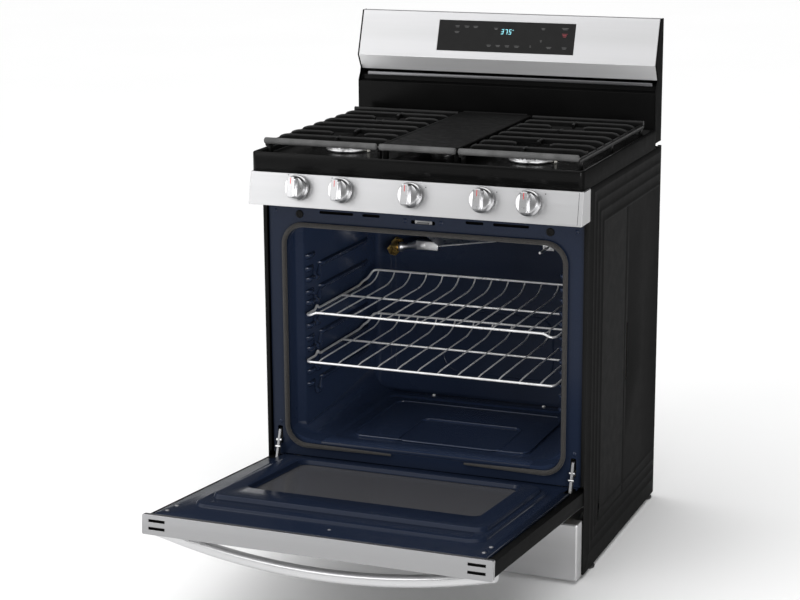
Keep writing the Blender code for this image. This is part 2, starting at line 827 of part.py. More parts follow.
def make_broil_elbow(material):
    """The brass gas elbow of the broil burner, through the oven's back wall."""
    x, z = gas_passages()[0][1]
    bend = 0.006
    path = [
        (x, CAVITY_BACK + 0.020, z),
        (x, ELBOW_Y + bend, z),
        (x + bend, ELBOW_Y, z),
        (x + 3 * bend, ELBOW_Y, z),
    ]
    elbow = make_tubes("broil_gas_elbow", [path], 0.0085, material, sides=10)
    nut = [
        [(x + a, y, z + b) for a, b in circle((0, 0), 0.0135, 6)] for y in (CAVITY_BACK - 0.014, CAVITY_BACK - 0.002)
    ]
    return unite(elbow, loft("elbow_nut", nut, None))


def broil_plate_section(share):
    """The plate's section a share of the way from its left end; its back edge rises to the right."""
    x = -0.124 + 0.324 * share
    back_z = 0.6215 + 0.0505 * share
    under = []
    for step in range(5):
        forward = step / 4
        under.append((x, 0.440 - 0.240 * forward, back_z + (0.742 - back_z) * forward))
    return under + [(x, y, z + 0.009) for x, y, z in reversed(under)]


def make_broil_burner(material):
    """A venturi that leads into a burner plate, which rises from the back to just under the ceiling."""
    z = gas_passages()[0][1][1]
    start = -0.2265
    slope = 0.12
    rows = [(start, 0.011), (-0.205, 0.008), (-0.180, 0.010), (-0.150, 0.013), (-0.120, 0.013)]
    loops = [
        [(x, ELBOW_Y + a, z + (x - start) * slope + b) for a, b in circle((0, 0), radius, 12)]
        for x, radius in rows
    ]
    venturi = loft("broil_burner", loops, material, smooth_degrees=35)
    unite(venturi, loft("broil_plate", [broil_plate_section(k / 4) for k in range(5)], None))
    hangers = [((x, 0.206, 0.744), (x + 0.010, 0.216, CAVITY_TOP - GAP)) for x in (-0.110, 0.176)]
    return unite(venturi, make_boxes("broil_hangers", hangers))


def make_bake_burner(material):
    """A U-shaped tube burner under the oven floor."""
    z = gas_passages()[1][1][1]
    path = [
        (-0.060, CAVITY_BACK + 0.020, z),
        (-0.060, 0.105, z),
        (-0.045, 0.090, z),
        (0.045, 0.090, z),
        (0.060, 0.105, z),
        (0.060, 0.420, z),
    ]
    return make_tubes("bake_burner", [path], 0.0078, material, sides=10)


def make_probe(material):
    x, z = gas_passages()[2][1]
    path = [(x, CAVITY_BACK + 0.020, z), (x, CAVITY_BACK - 0.070, z)]
    return make_tubes("temperature_probe", [path], 0.0028, material, sides=8)


def make_regulator(material):
    """The gas pressure regulator and inlet stub behind the drawer."""
    profile = [
        (0.0095, -0.045),
        (0.0095, -0.020),
        (0.024, -0.016),
        (0.024, 0.006),
        (0.016, 0.010),
        (0.016, 0.024),
    ]
    centre = (REGULATOR_X, REGULATOR_Y, REGULATOR_Z)
    regulator = lathe("pressure_regulator", profile, centre, material, 16)
    port_end = GAS_RUN_X - 0.013 - GAP
    port_path = [(REGULATOR_X + 0.010, *centre[1:]), (port_end, *centre[1:])]
    port = make_tubes("regulator_port", [port_path], 0.0085, sides=8)
    return unite(regulator, port)


def make_rack(name, level, wire_count, pitch, front_rise, material):
    """A wire rack: perimeter wire, one cross bar, and wires from front to back that turn up at the back."""
    low = rack_level(level) + 0.0035
    front, back = 0.038, 0.380
    half = CAVITY_HALF - 0.0085
    raised = 0.270
    back_rise = 0.027
    right = [
        (raised, front, low + front_rise),
        (half - 0.006, front + 0.002, low),
        (half, front + 0.010, low),
        (half, back - 0.015, low),
        (half - 0.003, back + 0.015, low + 0.010),
        (half - 0.010, back + 0.036, low + back_rise),
    ]
    left = [(-x, y, z) for x, y, z in reversed(right)]
    rack = make_tubes(name, [right + left], 0.0030, material, sides=6, closed=True)
    crossbar = [(-half, 0.249, low - 0.0002), (half, 0.249, low - 0.0002)]
    unite(rack, make_tubes(f"{name}_crossbar", [crossbar], 0.0027))
    wires = []
    for index in range(wire_count):
        x = pitch * (index - (wire_count - 1) / 2)
        wires.append(
            [
                (x, front, low + front_rise + 0.001),
                (x, front + 0.020, low + 0.0030),
                (x, back, low + 0.0030),
                (x, back + 0.0368, low + back_rise + 0.0004),
            ]
        )
    return unite(rack, make_tubes(f"{name}_wires", wires, 0.0019, sides=4))


# Oven door


def make_door_panel(material):
    """The outer pan of the door, with a window opening and a bevelled edge round its face."""
    edge = 0.004
    window = (0.262, 0.085, 0.395)
    top = DOOR_HIGH - DOOR_TRIM - GAP

    def face(inset, y, top_inset=0.0):
        return loop_xz(DOOR_HALF - inset, DOOR_LOW + inset, top - top_inset, y)

    def opening(y):
        half, low, high = window
        return loop_xz(half, low, high, y, 0.006)

    loops = [
        opening(DOOR_FACE),
        face(edge, DOOR_FACE),
        face(0.0, DOOR_FACE + edge),
        face(0.0, -0.0010),
        face(SHEET, -0.0010, SHEET),
        face(SHEET, DOOR_FACE + edge, SHEET),
        face(edge + SHEET / 2, DOOR_FACE + SHEET, SHEET),
        opening(DOOR_FACE + SHEET),
    ]
    return loft("door_outer_panel", loops, material, ring=True)


def make_door_outer_glass(material):
    low_y = DOOR_FACE + SHEET + GAP
    return make_boxes("door_outer_glass", [((-0.275, low_y, 0.068), (0.275, low_y + 0.004, 0.412))], material)


def make_door_liner(material):
    """The enamelled inside of the door: flat border, two raised steps and a window recess."""
    top = DOOR_HIGH - DOOR_TRIM - GAP
    rows = [
        (0.3570, -0.0440, top, -0.0007, 0.006),
        (0.3570, -0.0440, top, 0.0035, 0.006),
        (0.3550, -0.0420, top, DOOR_INNER, 0.006),
        (0.3180, 0.0400, 0.496, DOOR_INNER, 0.030),
        (0.3130, 0.0450, 0.491, 0.0110, 0.028),
        (0.3030, 0.0480, 0.437, 0.0110, 0.026),
        (0.2970, 0.0530, 0.431, 0.0190, 0.024),
        (0.2620, 0.0640, 0.352, 0.0190, 0.022),
        (0.2550, 0.0700, 0.345, 0.0110, 0.020),
    ]

    def liner_loop(half, low, high, y, radius):
        return loop_xz(half, low, high, y, radius, 3)

    outer = [liner_loop(*row) for row in rows]
    inner = []
    for half, low, high, y, radius in reversed(rows[2:]):
        inner.append(liner_loop(half - 0.0006, low + 0.0006, high - 0.0006, y - SHEET, radius))
    inner.append(liner_loop(0.3570 - SHEET, -0.0440 + SHEET, top - SHEET, -0.0007, 0.005))
    liner = loft("door_liner", outer + inner, material, ring=True)
    notches = mirrored([((HINGE_X - 0.007, -0.014, -0.016), (HINGE_X + 0.009, 0.010, 0.036))])
    return cut(liner, make_boxes("hinge_notches", notches))


def make_door_inner_glass(material):
    return make_boxes("door_inner_glass", [((-0.268, 0.0050, 0.058), (0.268, 0.0092, 0.358))], material)


def make_door_trim(material):
    """The channel along the door's top edge, with two slots at each end for air."""
    low = DOOR_HIGH - DOOR_TRIM
    half = DOOR_HALF + 0.0015
    front, back = DOOR_FACE - 0.0005, DOOR_INNER + 0.0005
    sheet = 0.0020
    loops = [
        loop_xy(half, front, back, DOOR_HIGH, 0.003),
        loop_xy(half, front, back, low, 0.003),
        loop_xy(half - sheet, front + sheet, back - sheet, low, 0.002),
        loop_xy(half - sheet, front + sheet, back - sheet, DOOR_HIGH - sheet, 0.002),
    ]
    trim = loft("door_top_trim", loops, material)
    slots = [((0.325, y, DOOR_HIGH - 0.006), (0.362, y + 0.006, DOOR_HIGH + 0.006)) for y in (-0.026, -0.010)]
    return cut(trim, make_boxes("trim_slots", mirrored(slots)))


def make_handle(material):
    """A bowed bar whose ends meet the door face near its sides."""
    half = 0.368
    root = DOOR_FACE - GAP
    bar = 0.024
    steps = 14
    outer, inner = [], []
    for index in range(steps + 1):
        x = -half + 2 * half * index / steps
        y = root - 0.014 - 0.047 * (1 - (x / half) ** 2)
        outer.append((x, y))
        inner.append((x, min(root, y + bar)))
    clear = [point for point in inner[1:-1] if point[1] < root]
    ends = [(-half + 0.030, root), (half - 0.030, root)]
    outline = [(-half, root), *outer, (half, root), ends[1], *reversed(clear), ends[0]]
    handle = prism_z("door_handle", outline, 0.5300, 0.5560, material, 30)
    bevel = handle.modifiers.new("rounded_edges", "BEVEL")
    bevel.width = 0.005
    bevel.segments = 2
    bevel.limit_method = "ANGLE"
    bevel.angle_limit = math.radians(50)
    return handle


def make_hinge_arm(name, side, material):
    """The fixed arm that a door hinges on: an eye on the pin's line, hooked through the front frame."""
    eye = []
    for index in range(9):
        angle = math.radians(150 + 180 * index / 8)
        eye.append((HINGE_Y + 0.006 * math.cos(angle), HINGE_Z + 0.006 * math.sin(angle)))
    outline = [
        *eye,
        (FRAME_FRONT - 0.001, 0.2380),
        (0.030, 0.2460),
        (0.030, 0.2540),
        (0.018, 0.2540),
        (0.018, 0.2640),
        (FRAME_FRONT - 0.003, 0.2640),
    ]
    near, far = sorted((side * (HINGE_X - 0.003), side * (HINGE_X + 0.003)))
    return prism_x(name, outline, near, far, material)


# Drawer


def make_drawer_front(material):
    back = DRAWER_FRONT + DRAWER_DEPTH
    edge = 0.003

    def face(inset, y):
        return loop_xz(DRAWER_HALF - inset, DRAWER_BOTTOM + inset, DRAWER_TOP - inset, y, 0.003)

    loops = [
        face(edge, DRAWER_FRONT),
        face(0.0, DRAWER_FRONT + edge),
        face(0.0, back),
        face(SHEET, back),
        face(SHEET, DRAWER_FRONT + edge),
        face(edge + SHEET, DRAWER_FRONT + SHEET),
    ]
    return loft("drawer_front", loops, material)


def make_drawer_box(material):
    """An open steel tray fixed behind the drawer front."""
    front = DRAWER_FRONT + DRAWER_DEPTH + GAP
    back = 0.520
    half = 0.3470
    low, high = 0.0270, 0.1200
    loops = [
        loop_xy(half, front, back, low, 0.006),
        loop_xy(half, front, back, high, 0.006),
        loop_xy(half - SHEET, front + SHEET, back - SHEET, high, 0.005),
        loop_xy(half - SHEET, front + SHEET, back - SHEET, low + SHEET, 0.005),
    ]
    return loft("drawer_box", loops, material)


# Backguard


def make_backguard(material):
    """The black housing behind the cooktop: splash panel, vent step, end plates and back."""
    fascia_clear = 0.0022
    outline = [
        (SPLASH_FRONT, GUARD_BOTTOM),
        (SPLASH_FRONT, 0.998),
        (SPLASH_FRONT + 0.016, 1.002),
        (SPLASH_FRONT + 0.016, 1.012),
        (GUARD_UNDERCUT_Y + 0.016, 1.020),
        (GUARD_UNDERCUT_Y + 0.016, 1.066),
        (GUARD_TOP_Y + fascia_clear + 0.006, GUARD_TOP - 0.012),
        (GUARD_BACK, GUARD_TOP - 0.012),
        (GUARD_BACK, GUARD_BOTTOM),
    ]
    half = GUARD_HALF - 0.0005
    housing = prism_x("backguard_housing", outline, -half, half, material)
    hollow = [
        (SPLASH_FRONT + SHEET, GUARD_BOTTOM - 0.01),
        (SPLASH_FRONT + SHEET, 0.996),
        (SPLASH_FRONT + 0.018, 1.000),
        (SPLASH_FRONT + 0.018, 1.012),
        (GUARD_UNDERCUT_Y + 0.018, 1.022),
        (GUARD_UNDERCUT_Y + 0.018, 1.066),
        (GUARD_TOP_Y + 0.0105, GUARD_TOP - 0.0145),
        (GUARD_BACK - SHEET, GUARD_TOP - 0.0145),
        (GUARD_BACK - SHEET, GUARD_BOTTOM - 0.01),
    ]
    cut(housing, prism_x("housing_hollow", hollow, -half + SHEET, half - SHEET, None))
    silhouette = [
        (SPLASH_FRONT - 0.0005, GUARD_BOTTOM + 0.036),
        (SPLASH_FRONT - 0.0005, 1.0005),
        (GUARD_UNDERCUT_Y - 0.001, GUARD_UNDERCUT_Z - 0.0005),
        (GUARD_LIP_Y - 0.0005, GUARD_LIP_Z),
        (GUARD_TOP_Y - 0.0005, GUARD_TOP + 0.0005),
        (GUARD_BACK - 0.0005, GUARD_TOP + 0.0005),
        (GUARD_BACK - 0.0005, GUARD_BOTTOM + 0.0005),
        (SPLASH_FRONT + 0.006, GUARD_BOTTOM + 0.0005),
    ]
    for side in (-1, 1):
        near, far = sorted((side * (GUARD_HALF - 0.0010), side * (GUARD_HALF + 0.0020)))
        unite(housing, prism_x(f"end_plate_{near:.2f}", silhouette, near, far, None))
    return housing


def fascia_face_y(z):
    """Y of the fascia's sloping face at a height."""
    return GUARD_LIP_Y + (GUARD_TOP_Y - GUARD_LIP_Y) * (z - GUARD_LIP_Z) / (GUARD_TOP - GUARD_LIP_Z)


def make_fascia(material):
    """The stainless face of the backguard, folded back along its top and its lower edge."""
    sheet = 0.0014
    outline = [
        (GUARD_BACK - 0.002, GUARD_TOP),
        (GUARD_TOP_Y, GUARD_TOP),
        (GUARD_LIP_Y, GUARD_LIP_Z),
        (GUARD_UNDERCUT_Y, GUARD_UNDERCUT_Z),
        (GUARD_UNDERCUT_Y + 0.012, GUARD_UNDERCUT_Z),
        (GUARD_UNDERCUT_Y + 0.012, GUARD_UNDERCUT_Z + sheet),
        (GUARD_UNDERCUT_Y + sheet * 0.6, GUARD_UNDERCUT_Z + sheet),
        (GUARD_LIP_Y + sheet * 1.06, GUARD_LIP_Z),
        (GUARD_TOP_Y + sheet, GUARD_TOP - sheet),
        (GUARD_BACK - 0.002, GUARD_TOP - sheet),
    ]
    half = GUARD_HALF - 0.0014
    fascia = prism_x("backguard_fascia", outline, -half, half, material)
    window = display_outline(0.0004, -0.01, 0.01)
    return cut(fascia, prism_x("display_window", window, -DISPLAY_HALF - 0.0004, DISPLAY_HALF + 0.0004, None))


def display_outline(grow, front, back):
    """(y, z) corners of the display's section, between two depths measured from the fascia's face."""
    low, high = DISPLAY_LOW - grow, DISPLAY_HIGH + grow
    return [
        (fascia_face_y(low) + front, low),
        (fascia_face_y(low) + back, low),
        (fascia_face_y(high) + back, high),
        (fascia_face_y(high) + front, high),
    ]


def make_display(material):
    return prism_x("display_panel", display_outline(0.0, 0.0, 0.006), -DISPLAY_HALF, DISPLAY_HALF, material)


def make_materials():
    return {
        "stainless": make_material("stainless_steel", (0.56, 0.57, 0.58), 0.32, 1.0),
        "black": make_material("black_enamel", (0.012, 0.012, 0.013), 0.18),
        "satin_black": make_material("satin_black_steel", (0.025, 0.025, 0.026), 0.45),
        "zinc": make_material("zinc_plated_steel", (0.45, 0.46, 0.46), 0.50, 1.0),
        "navy": make_material("navy_enamel", (0.018, 0.028, 0.060), 0.25),
        "gasket": make_material("fibre_gasket", (0.060, 0.055, 0.048), 0.85),
        "fibre": make_material("glass_fibre", (0.62, 0.56, 0.38), 0.95),
        "chrome": make_material("chrome_wire", (0.70, 0.71, 0.72), 0.18, 1.0),
        "iron": make_material("cast_iron", (0.020, 0.020, 0.021), 0.60),
        "alloy": make_material("cast_aluminium", (0.62, 0.62, 0.61), 0.38, 1.0),
        "brass": make_material("brass", (0.60, 0.42, 0.15), 0.30, 1.0),
        "glass": make_material("door_glass", (0.030, 0.028, 0.026), 0.06),
        "rubber": make_material("foot_nylon", (0.030, 0.030, 0.030), 0.70),
    }


def build_body(materials):
    make_side_panel("side_panel_left", -1, materials["satin_black"])
    make_side_panel("side_panel_right", 1, materials["satin_black"])
    make_rear_panel(materials["zinc"])
    make_base_frame(materials["zinc"])
    for corner, place in zip(("front_left", "front_right", "rear_left", "rear_right"), leg_places()):
        make_levelling_leg(f"leveling_leg_{corner}", place, materials["rubber"])
    make_base_shield(materials["zinc"])
    make_regulator(materials["alloy"])


def build_top(materials):
    make_cooktop(materials["black"])
    names = ("front_left", "front_right", "rear_left", "rear_right")
    radii = (0.048, 0.050, 0.038, 0.042)
    for corner, place, radius in zip(names, round_burner_places(), radii):
        make_burner_base(f"burner_base_{corner}", place, radius, materials["alloy"])
        make_burner_cap(f"burner_cap_{corner}", place, radius - 0.008, materials["iron"])
    make_oval_burner(materials["alloy"], materials["iron"])
    make_side_grate("grate_left", -1, materials["iron"])
    make_side_grate("grate_right", 1, materials["iron"])
    make_griddle(materials["iron"])
    make_backguard(materials["black"])
    make_fascia(materials["stainless"])
    make_display(materials["glass"])


def build_controls(materials):
    make_control_panel(materials["stainless"])
    make_gas_manifold(materials["zinc"])
    for index, x in enumerate(KNOB_X):
        pivot = knob_pivot(f"knob_axis_{index + 1}", x)
        stem = make_valve_stem(f"valve_stem_{index + 1}", materials["zinc"])
        knob = make_knob(f"knob_{index + 1}", materials["stainless"])
        attach(pivot, stem, knob)
        for modifier in knob.modifiers:
            modifier.object.parent = pivot


def build_oven(materials):
    make_front_frame(materials["navy"])
    make_oven_liner(materials["navy"])
    make_oven_floor(materials["navy"])
    make_gasket(materials["gasket"])
    make_insulation(materials["fibre"])
    make_broil_elbow(materials["brass"])
    make_broil_burner(materials["alloy"])
    make_bake_burner(materials["zinc"])
    make_probe(materials["chrome"])
    make_rack("oven_rack_upper", 3, 14, 0.0415, 0.006, materials["chrome"])
    make_rack("oven_rack_lower", 1, 12, 0.0480, 0.0, materials["chrome"])
    make_hinge_arm("hinge_arm_left", -1, materials["chrome"])
    make_hinge_arm("hinge_arm_right", 1, materials["chrome"])


def build_door(materials):
    hinge = make_pivot("door_hinge_line", (0.0, HINGE_Y, HINGE_Z), DOOR_OPEN_ANGLE)
    pieces = [
        make_door_panel(materials["stainless"]),
        make_door_outer_glass(materials["glass"]),
        make_door_liner(materials["navy"]),
        make_door_inner_glass(materials["glass"]),
        make_door_trim(materials["stainless"]),
        make_handle(materials["stainless"]),
    ]
    for piece in pieces:
        attach(hinge, piece)
        for modifier in piece.modifiers:
            if modifier.type == "BOOLEAN":
                modifier.object.parent = hinge


def build_drawer(materials):
    make_drawer_front(materials["stainless"])
    make_drawer_box(materials["zinc"])


clear_scene()
finishes = make_materials()
build_body(finishes)
build_top(finishes)
build_controls(finishes)
build_oven(finishes)
build_door(finishes)
build_drawer(finishes)
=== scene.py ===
"""The finished look of the freestanding gas range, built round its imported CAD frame.

Lengths are metres, in the row frame: +Z up, the range faces -Y. Each section below makes one group of
pieces, and each piece rides on the CAD body that it belongs to.
"""

import math

import bmesh
import bpy
from mathutils import Matrix, Vector, noise


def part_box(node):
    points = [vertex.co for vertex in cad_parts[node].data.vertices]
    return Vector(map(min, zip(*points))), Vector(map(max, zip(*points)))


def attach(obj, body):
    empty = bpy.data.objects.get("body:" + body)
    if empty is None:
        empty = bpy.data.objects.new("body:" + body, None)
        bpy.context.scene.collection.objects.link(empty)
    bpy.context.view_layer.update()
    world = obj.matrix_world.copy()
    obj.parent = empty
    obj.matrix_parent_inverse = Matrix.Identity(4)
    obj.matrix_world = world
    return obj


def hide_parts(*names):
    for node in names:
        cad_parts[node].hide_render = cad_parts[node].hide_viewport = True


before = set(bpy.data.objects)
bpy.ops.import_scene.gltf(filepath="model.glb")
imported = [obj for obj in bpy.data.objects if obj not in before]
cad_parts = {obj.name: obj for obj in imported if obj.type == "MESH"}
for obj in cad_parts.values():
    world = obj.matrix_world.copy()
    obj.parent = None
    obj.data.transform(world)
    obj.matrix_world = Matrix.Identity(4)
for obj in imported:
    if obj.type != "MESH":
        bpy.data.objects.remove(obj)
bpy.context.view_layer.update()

# Driving dimensions, as in the CAD model
HALF_WIDTH = 0.380
BODY_FRONT, BODY_BACK, BODY_LOW, BODY_TOP = 0.001, 0.603, 0.010, 0.8705
PANEL_TOP, PANEL_LOW, PANEL_LEAN, PANEL_TOP_Y = 0.8715, 0.800, 0.015, -0.049
PANEL_TILT = math.atan2(PANEL_LEAN, PANEL_TOP - PANEL_LOW)
KNOB_X, KNOB_Z, KNOB_STANDOFF = (-0.265, -0.162, 0.0, 0.162, 0.265), 0.842, 0.0048
COOKTOP_FRONT, COOKTOP_BACK, COOKTOP_TOP = -0.049, 0.550, 0.915
SKIRT_LOW, WELL_Z = 0.872, 0.9025
BURNER_SEAT = WELL_Z + 0.0003
BURNER_X, BURNER_FRONT_Y, BURNER_BACK_Y, OVAL_Y = 0.217, 0.114, 0.376, 0.245
BURNER_RADII = {"front_left": 0.048, "front_right": 0.050, "rear_left": 0.038, "rear_right": 0.042}
GRATE_TOP, GRATE_SEAM, GRATE_OUTER = 0.942, 0.0925, 0.362
GRATE_FRONT_Y, GRATE_BACK_Y, GRATE_FIRST_BAR_Y, GRATE_BARS = -0.019, 0.496, 0.056, 7
FRAME_FRONT = 0.009
CAVITY_HALF, CAVITY_LOW, CAVITY_TOP, CAVITY_BACK, CAVITY_CORNER = 0.305, 0.2115, 0.758, 0.490, 0.035
MOUTH_HALF, COVE_TOP, COVE_FOOT = 0.3225, 0.300, 0.250
RACK_LOWEST, RACK_STEP, RACK_LEVELS = 0.3640, 0.0542, 6
RACK_FRONT, RACK_BEND, RACK_HALF = 0.038, 0.380, CAVITY_HALF - 0.0085
ELBOW_X, ELBOW_Y, ELBOW_Z = -0.245, 0.446, 0.612
PROBE_X, PROBE_Z = 0.138, 0.629
FLOOR_TOP = 0.2440
HINGE_Y, HINGE_Z, DOOR_ANGLE = -0.010, 0.201, math.radians(85)
DOOR_FACE, DOOR_HIGH, DOOR_TRIM = -0.036, 0.593, 0.012
GUARD_LIP_Y, GUARD_LIP_Z, GUARD_TOP_Y, GUARD_TOP = 0.549, 1.062, 0.585, 1.168
DISPLAY_LOW, DISPLAY_HIGH = 1.080, 1.150

UP = Vector((0, 0, 1))
DOOR_PLACE = Matrix.Translation((0, HINGE_Y, HINGE_Z)) @ Matrix.Rotation(DOOR_ANGLE, 4, "X")


# Materials


class Finish:
    """A Principled material, with short calls for the textures that drive it."""

    def __init__(self, name, colour, roughness, metallic=0.0, **sockets):
        self.material = bpy.data.materials.new(name)
        self.material.use_nodes = True
        self.tree = self.material.node_tree
        self.shader = self.tree.nodes["Principled BSDF"]
        sockets.update(Base_Color=(*colour, 1.0), Roughness=roughness, Metallic=metallic)
        for socket, value in sockets.items():
            self.shader.inputs[socket.replace("_", " ")].default_value = value
        self.material.diffuse_color = (*colour, 1.0)

    def node(self, kind, **inputs):
        """A node with its inputs set to values or linked to other nodes' sockets."""
        made = self.tree.nodes.new(f"ShaderNode{kind}")
        for key, value in inputs.items():
            socket = made.inputs[key.replace("_", " ")]
            if isinstance(value, bpy.types.NodeSocket):
                self.tree.links.new(value, socket)
            else:
                socket.default_value = value
        return made

    def noise(self, scale, stretch=(1, 1, 1), detail=3.0):
        """A noise pattern's value, finer along an axis whose stretch is larger."""
        place = self.node("Mapping", Vector=self.node("TexCoord").outputs["Object"], Scale=stretch)
        pattern = self.node("TexNoise", Vector=place.outputs["Vector"], Scale=scale, Detail=detail)
        return pattern.outputs["Fac"]

    def cells(self, scale):
        """Distance to the nearest point of a scattered pattern."""
        place = self.node("TexCoord").outputs["Object"]
        return self.node("TexVoronoi", Vector=place, Scale=scale).outputs["Distance"]

    def roughness(self, value, low, high):
        span = self.node("MapRange", Value=value, From_Min=0.3, From_Max=0.7, To_Min=low, To_Max=high)
        self.tree.links.new(span.outputs["Result"], self.shader.inputs["Roughness"])

    def colours(self, value, *stops):
        """Colours the surface by a value, through (position, colour) stops."""
        ramp = self.node("ValToRGB", Fac=value)
        points = ramp.color_ramp.elements
        while len(points) < len(stops):
            points.new(0.5)
        for point, (position, colour) in zip(points, stops):
            point.position = position
            point.color = (*colour, 1.0)
        self.tree.links.new(ramp.outputs["Color"], self.shader.inputs["Base Color"])

    def mottle(self, value, first, second):
        """Colours the surface between two shades."""
        self.colours(value, (0.3, first), (0.7, second))

    def bump(self, value, depth, strength):
        """Raises the surface by a value; depth is in metres. Calls add up."""
        relief = self.node("Bump", Height=value, Distance=depth, Strength=strength)
        normal = self.shader.inputs["Normal"]
        if normal.is_linked:
            self.tree.links.new(normal.links[0].from_socket, relief.inputs["Normal"])
        self.tree.links.new(relief.outputs["Normal"], normal)


def grey(value, blue=0.0):
    return (value, value, value + blue)


def tone(colour, share):
    return tuple(part * share for part in colour)


def brushed_steel(name, value, stretch, low, high, grain=0.25, metallic=1.0):
    """Stainless steel with a fine grain along one axis and broad, faint streaks."""
    finish = Finish(name, grey(value, 0.005), low, metallic)
    fine = finish.noise(260, stretch, 4)
    finish.mottle(finish.noise(14, stretch, 2), grey(value * 0.94, 0.004), grey(value * 1.05, 0.008))
    finish.roughness(fine, low, high)
    finish.bump(fine, 0.00003, grain)
    return finish.material


def enamel(name, share, roughness, gloss):
    """Fired navy porcelain enamel: a glassy coat over a slightly uneven ground with tiny specks."""
    dark, light, speck = [tuple(share * part for part in shade) for shade in NAVY_SHADES]
    finish = Finish(name, dark, roughness, Specular_IOR_Level=gloss)
    finish.colours(finish.cells(520), (0.0, speck), (0.10, speck), (0.16, light), (0.75, dark))
    finish.bump(finish.noise(90, detail=2), 0.0003, 0.10)
    finish.roughness(finish.noise(7), roughness * 0.85, roughness * 1.25)
    return finish.material


def black_gloss():
    finish = Finish("black_gloss_enamel", grey(0.004), 0.2, Specular_IOR_Level=0.06)
    finish.mottle(finish.noise(9), grey(0.0035), grey(0.0050))
    finish.roughness(finish.noise(5), 0.18, 0.24)
    finish.bump(finish.noise(120, detail=2), 0.0002, 0.05)
    return finish.material


def black_satin(name, value):
    finish = Finish(name, grey(value), 0.5, Specular_IOR_Level=0.006)
    finish.mottle(finish.noise(6, detail=5), grey(value * 0.95), grey(value * 1.15))
    finish.roughness(finish.noise(40), 0.50, 0.56)
    finish.bump(finish.noise(900, detail=2), 0.0001, 0.25)
    return finish.material


def cast_iron(name, value, roughness):
    finish = Finish(name, grey(value), roughness, Specular_IOR_Level=0.14)
    finish.mottle(finish.noise(30, detail=6), grey(value * 0.75), grey(value * 1.4))
    finish.roughness(finish.noise(60), roughness * 0.85, roughness * 1.15)
    finish.bump(finish.noise(700, detail=4), 0.00035, 0.45)
    finish.bump(finish.noise(90, detail=2), 0.0006, 0.15)
    return finish.material


def plated(name, value, low, high, depth, shine=1.0, blue=0.004):
    """A metal with cloudy roughness: zinc plate, cast aluminium or chrome."""
    finish = Finish(name, grey(value, blue), low, shine)
    cloud = finish.noise(55, detail=5)
    finish.mottle(cloud, grey(value * 0.88, blue), grey(min(1.0, value * 1.1), blue))
    finish.roughness(cloud, low, high)
    finish.bump(finish.noise(420, detail=4), depth, 0.5)
    return finish.material


def brass():
    finish = Finish("machined_brass", (0.62, 0.42, 0.14), 0.28, 1.0)
    cloud = finish.noise(70, detail=5)
    finish.colours(cloud, (0.3, (0.45, 0.27, 0.07)), (0.55, (0.66, 0.45, 0.15)), (0.75, (0.80, 0.60, 0.26)))
    finish.roughness(cloud, 0.20, 0.42)
    return finish.material


def braid():
    """Woven glass-fibre tube."""
    finish = Finish("braided_gasket", (0.034, 0.031, 0.027), 0.88, Sheen_Weight=0.1, Sheen_Roughness=0.5)
    weave = finish.cells(420)
    finish.colours(weave, (0.0, (0.034, 0.031, 0.029)), (0.8, (0.013, 0.012, 0.011)))
    finish.bump(weave, 0.0012, 0.8)
    finish.bump(finish.noise(60), 0.001, 0.3)
    return finish.material


def fibre():
    finish = Finish("glass_fibre_blanket", (0.62, 0.54, 0.33), 0.95, Sheen_Weight=0.3, Sheen_Roughness=0.6)
    tufts = finish.noise(120, (1, 3, 1), 7)
    finish.mottle(tufts, (0.46, 0.38, 0.20), (0.74, 0.66, 0.44))
    finish.bump(tufts, 0.004, 0.8)
    return finish.material


def oven_glass():
    """Tinted glass with a fine dot screen."""
    finish = Finish("oven_glass", (0.060, 0.060, 0.064), 0.12, Specular_IOR_Level=0.2)
    finish.colours(finish.cells(650), (0.15, (0.075, 0.075, 0.079)), (0.5, (0.052, 0.052, 0.056)))
    finish.roughness(finish.noise(6), 0.12, 0.15)
    return finish.material


def plain(name, colour, roughness, depth=0.00001, **sockets):
    """A moulded, fired or printed surface, slightly cloudy."""
    finish = Finish(name, colour, roughness, **sockets)
    cloud = finish.noise(50, detail=4)
    finish.mottle(cloud, tone(colour, 0.85), tone(colour, 1.12))
    finish.roughness(cloud, roughness * 0.85, min(1.0, roughness * 1.15))
    finish.bump(finish.noise(380), depth, 0.35)
    return finish.material


def glow(name, colour, strength):
    finish = Finish(name, colour, 0.4, Emission_Color=(*colour, 1.0), Emission_Strength=strength)
    finish.mottle(finish.noise(300), tone(colour, 0.9), colour)
    return finish.material


ALONG_X = (0.02, 1.0, 1.0)
ACROSS_KNOB = (1.0, 0.2, 1.0)
NAVY_SHADES = ((0.0082, 0.0130, 0.0275), (0.0100, 0.0155, 0.0315), (0.024, 0.031, 0.052))
GRAINY = 0.0002

STEEL = brushed_steel("stainless_along", 0.45, ALONG_X, 0.39, 0.46, 0.15)
TRIM_STEEL = brushed_steel("stainless_trim", 0.34, ALONG_X, 0.30, 0.40)
# The drawer's steel is set lighter than the door's (0.54 against 0.45) to make up for the open door's
# shadow: painted light.
DRAWER_STEEL_PAINTED_LIGHT = brushed_steel("stainless_drawer_painted_light", 0.54, ALONG_X, 0.39, 0.46, 0.15)
KNOB_STEEL = brushed_steel("stainless_knob", 0.52, ACROSS_KNOB, 0.27, 0.31, 0.01)
HANDLE_STEEL = brushed_steel("stainless_handle", 0.56, ALONG_X, 0.27, 0.32, 0.03)
RAIL_STEEL = brushed_steel("stainless_rail", 0.14, ALONG_X, 0.34, 0.44)
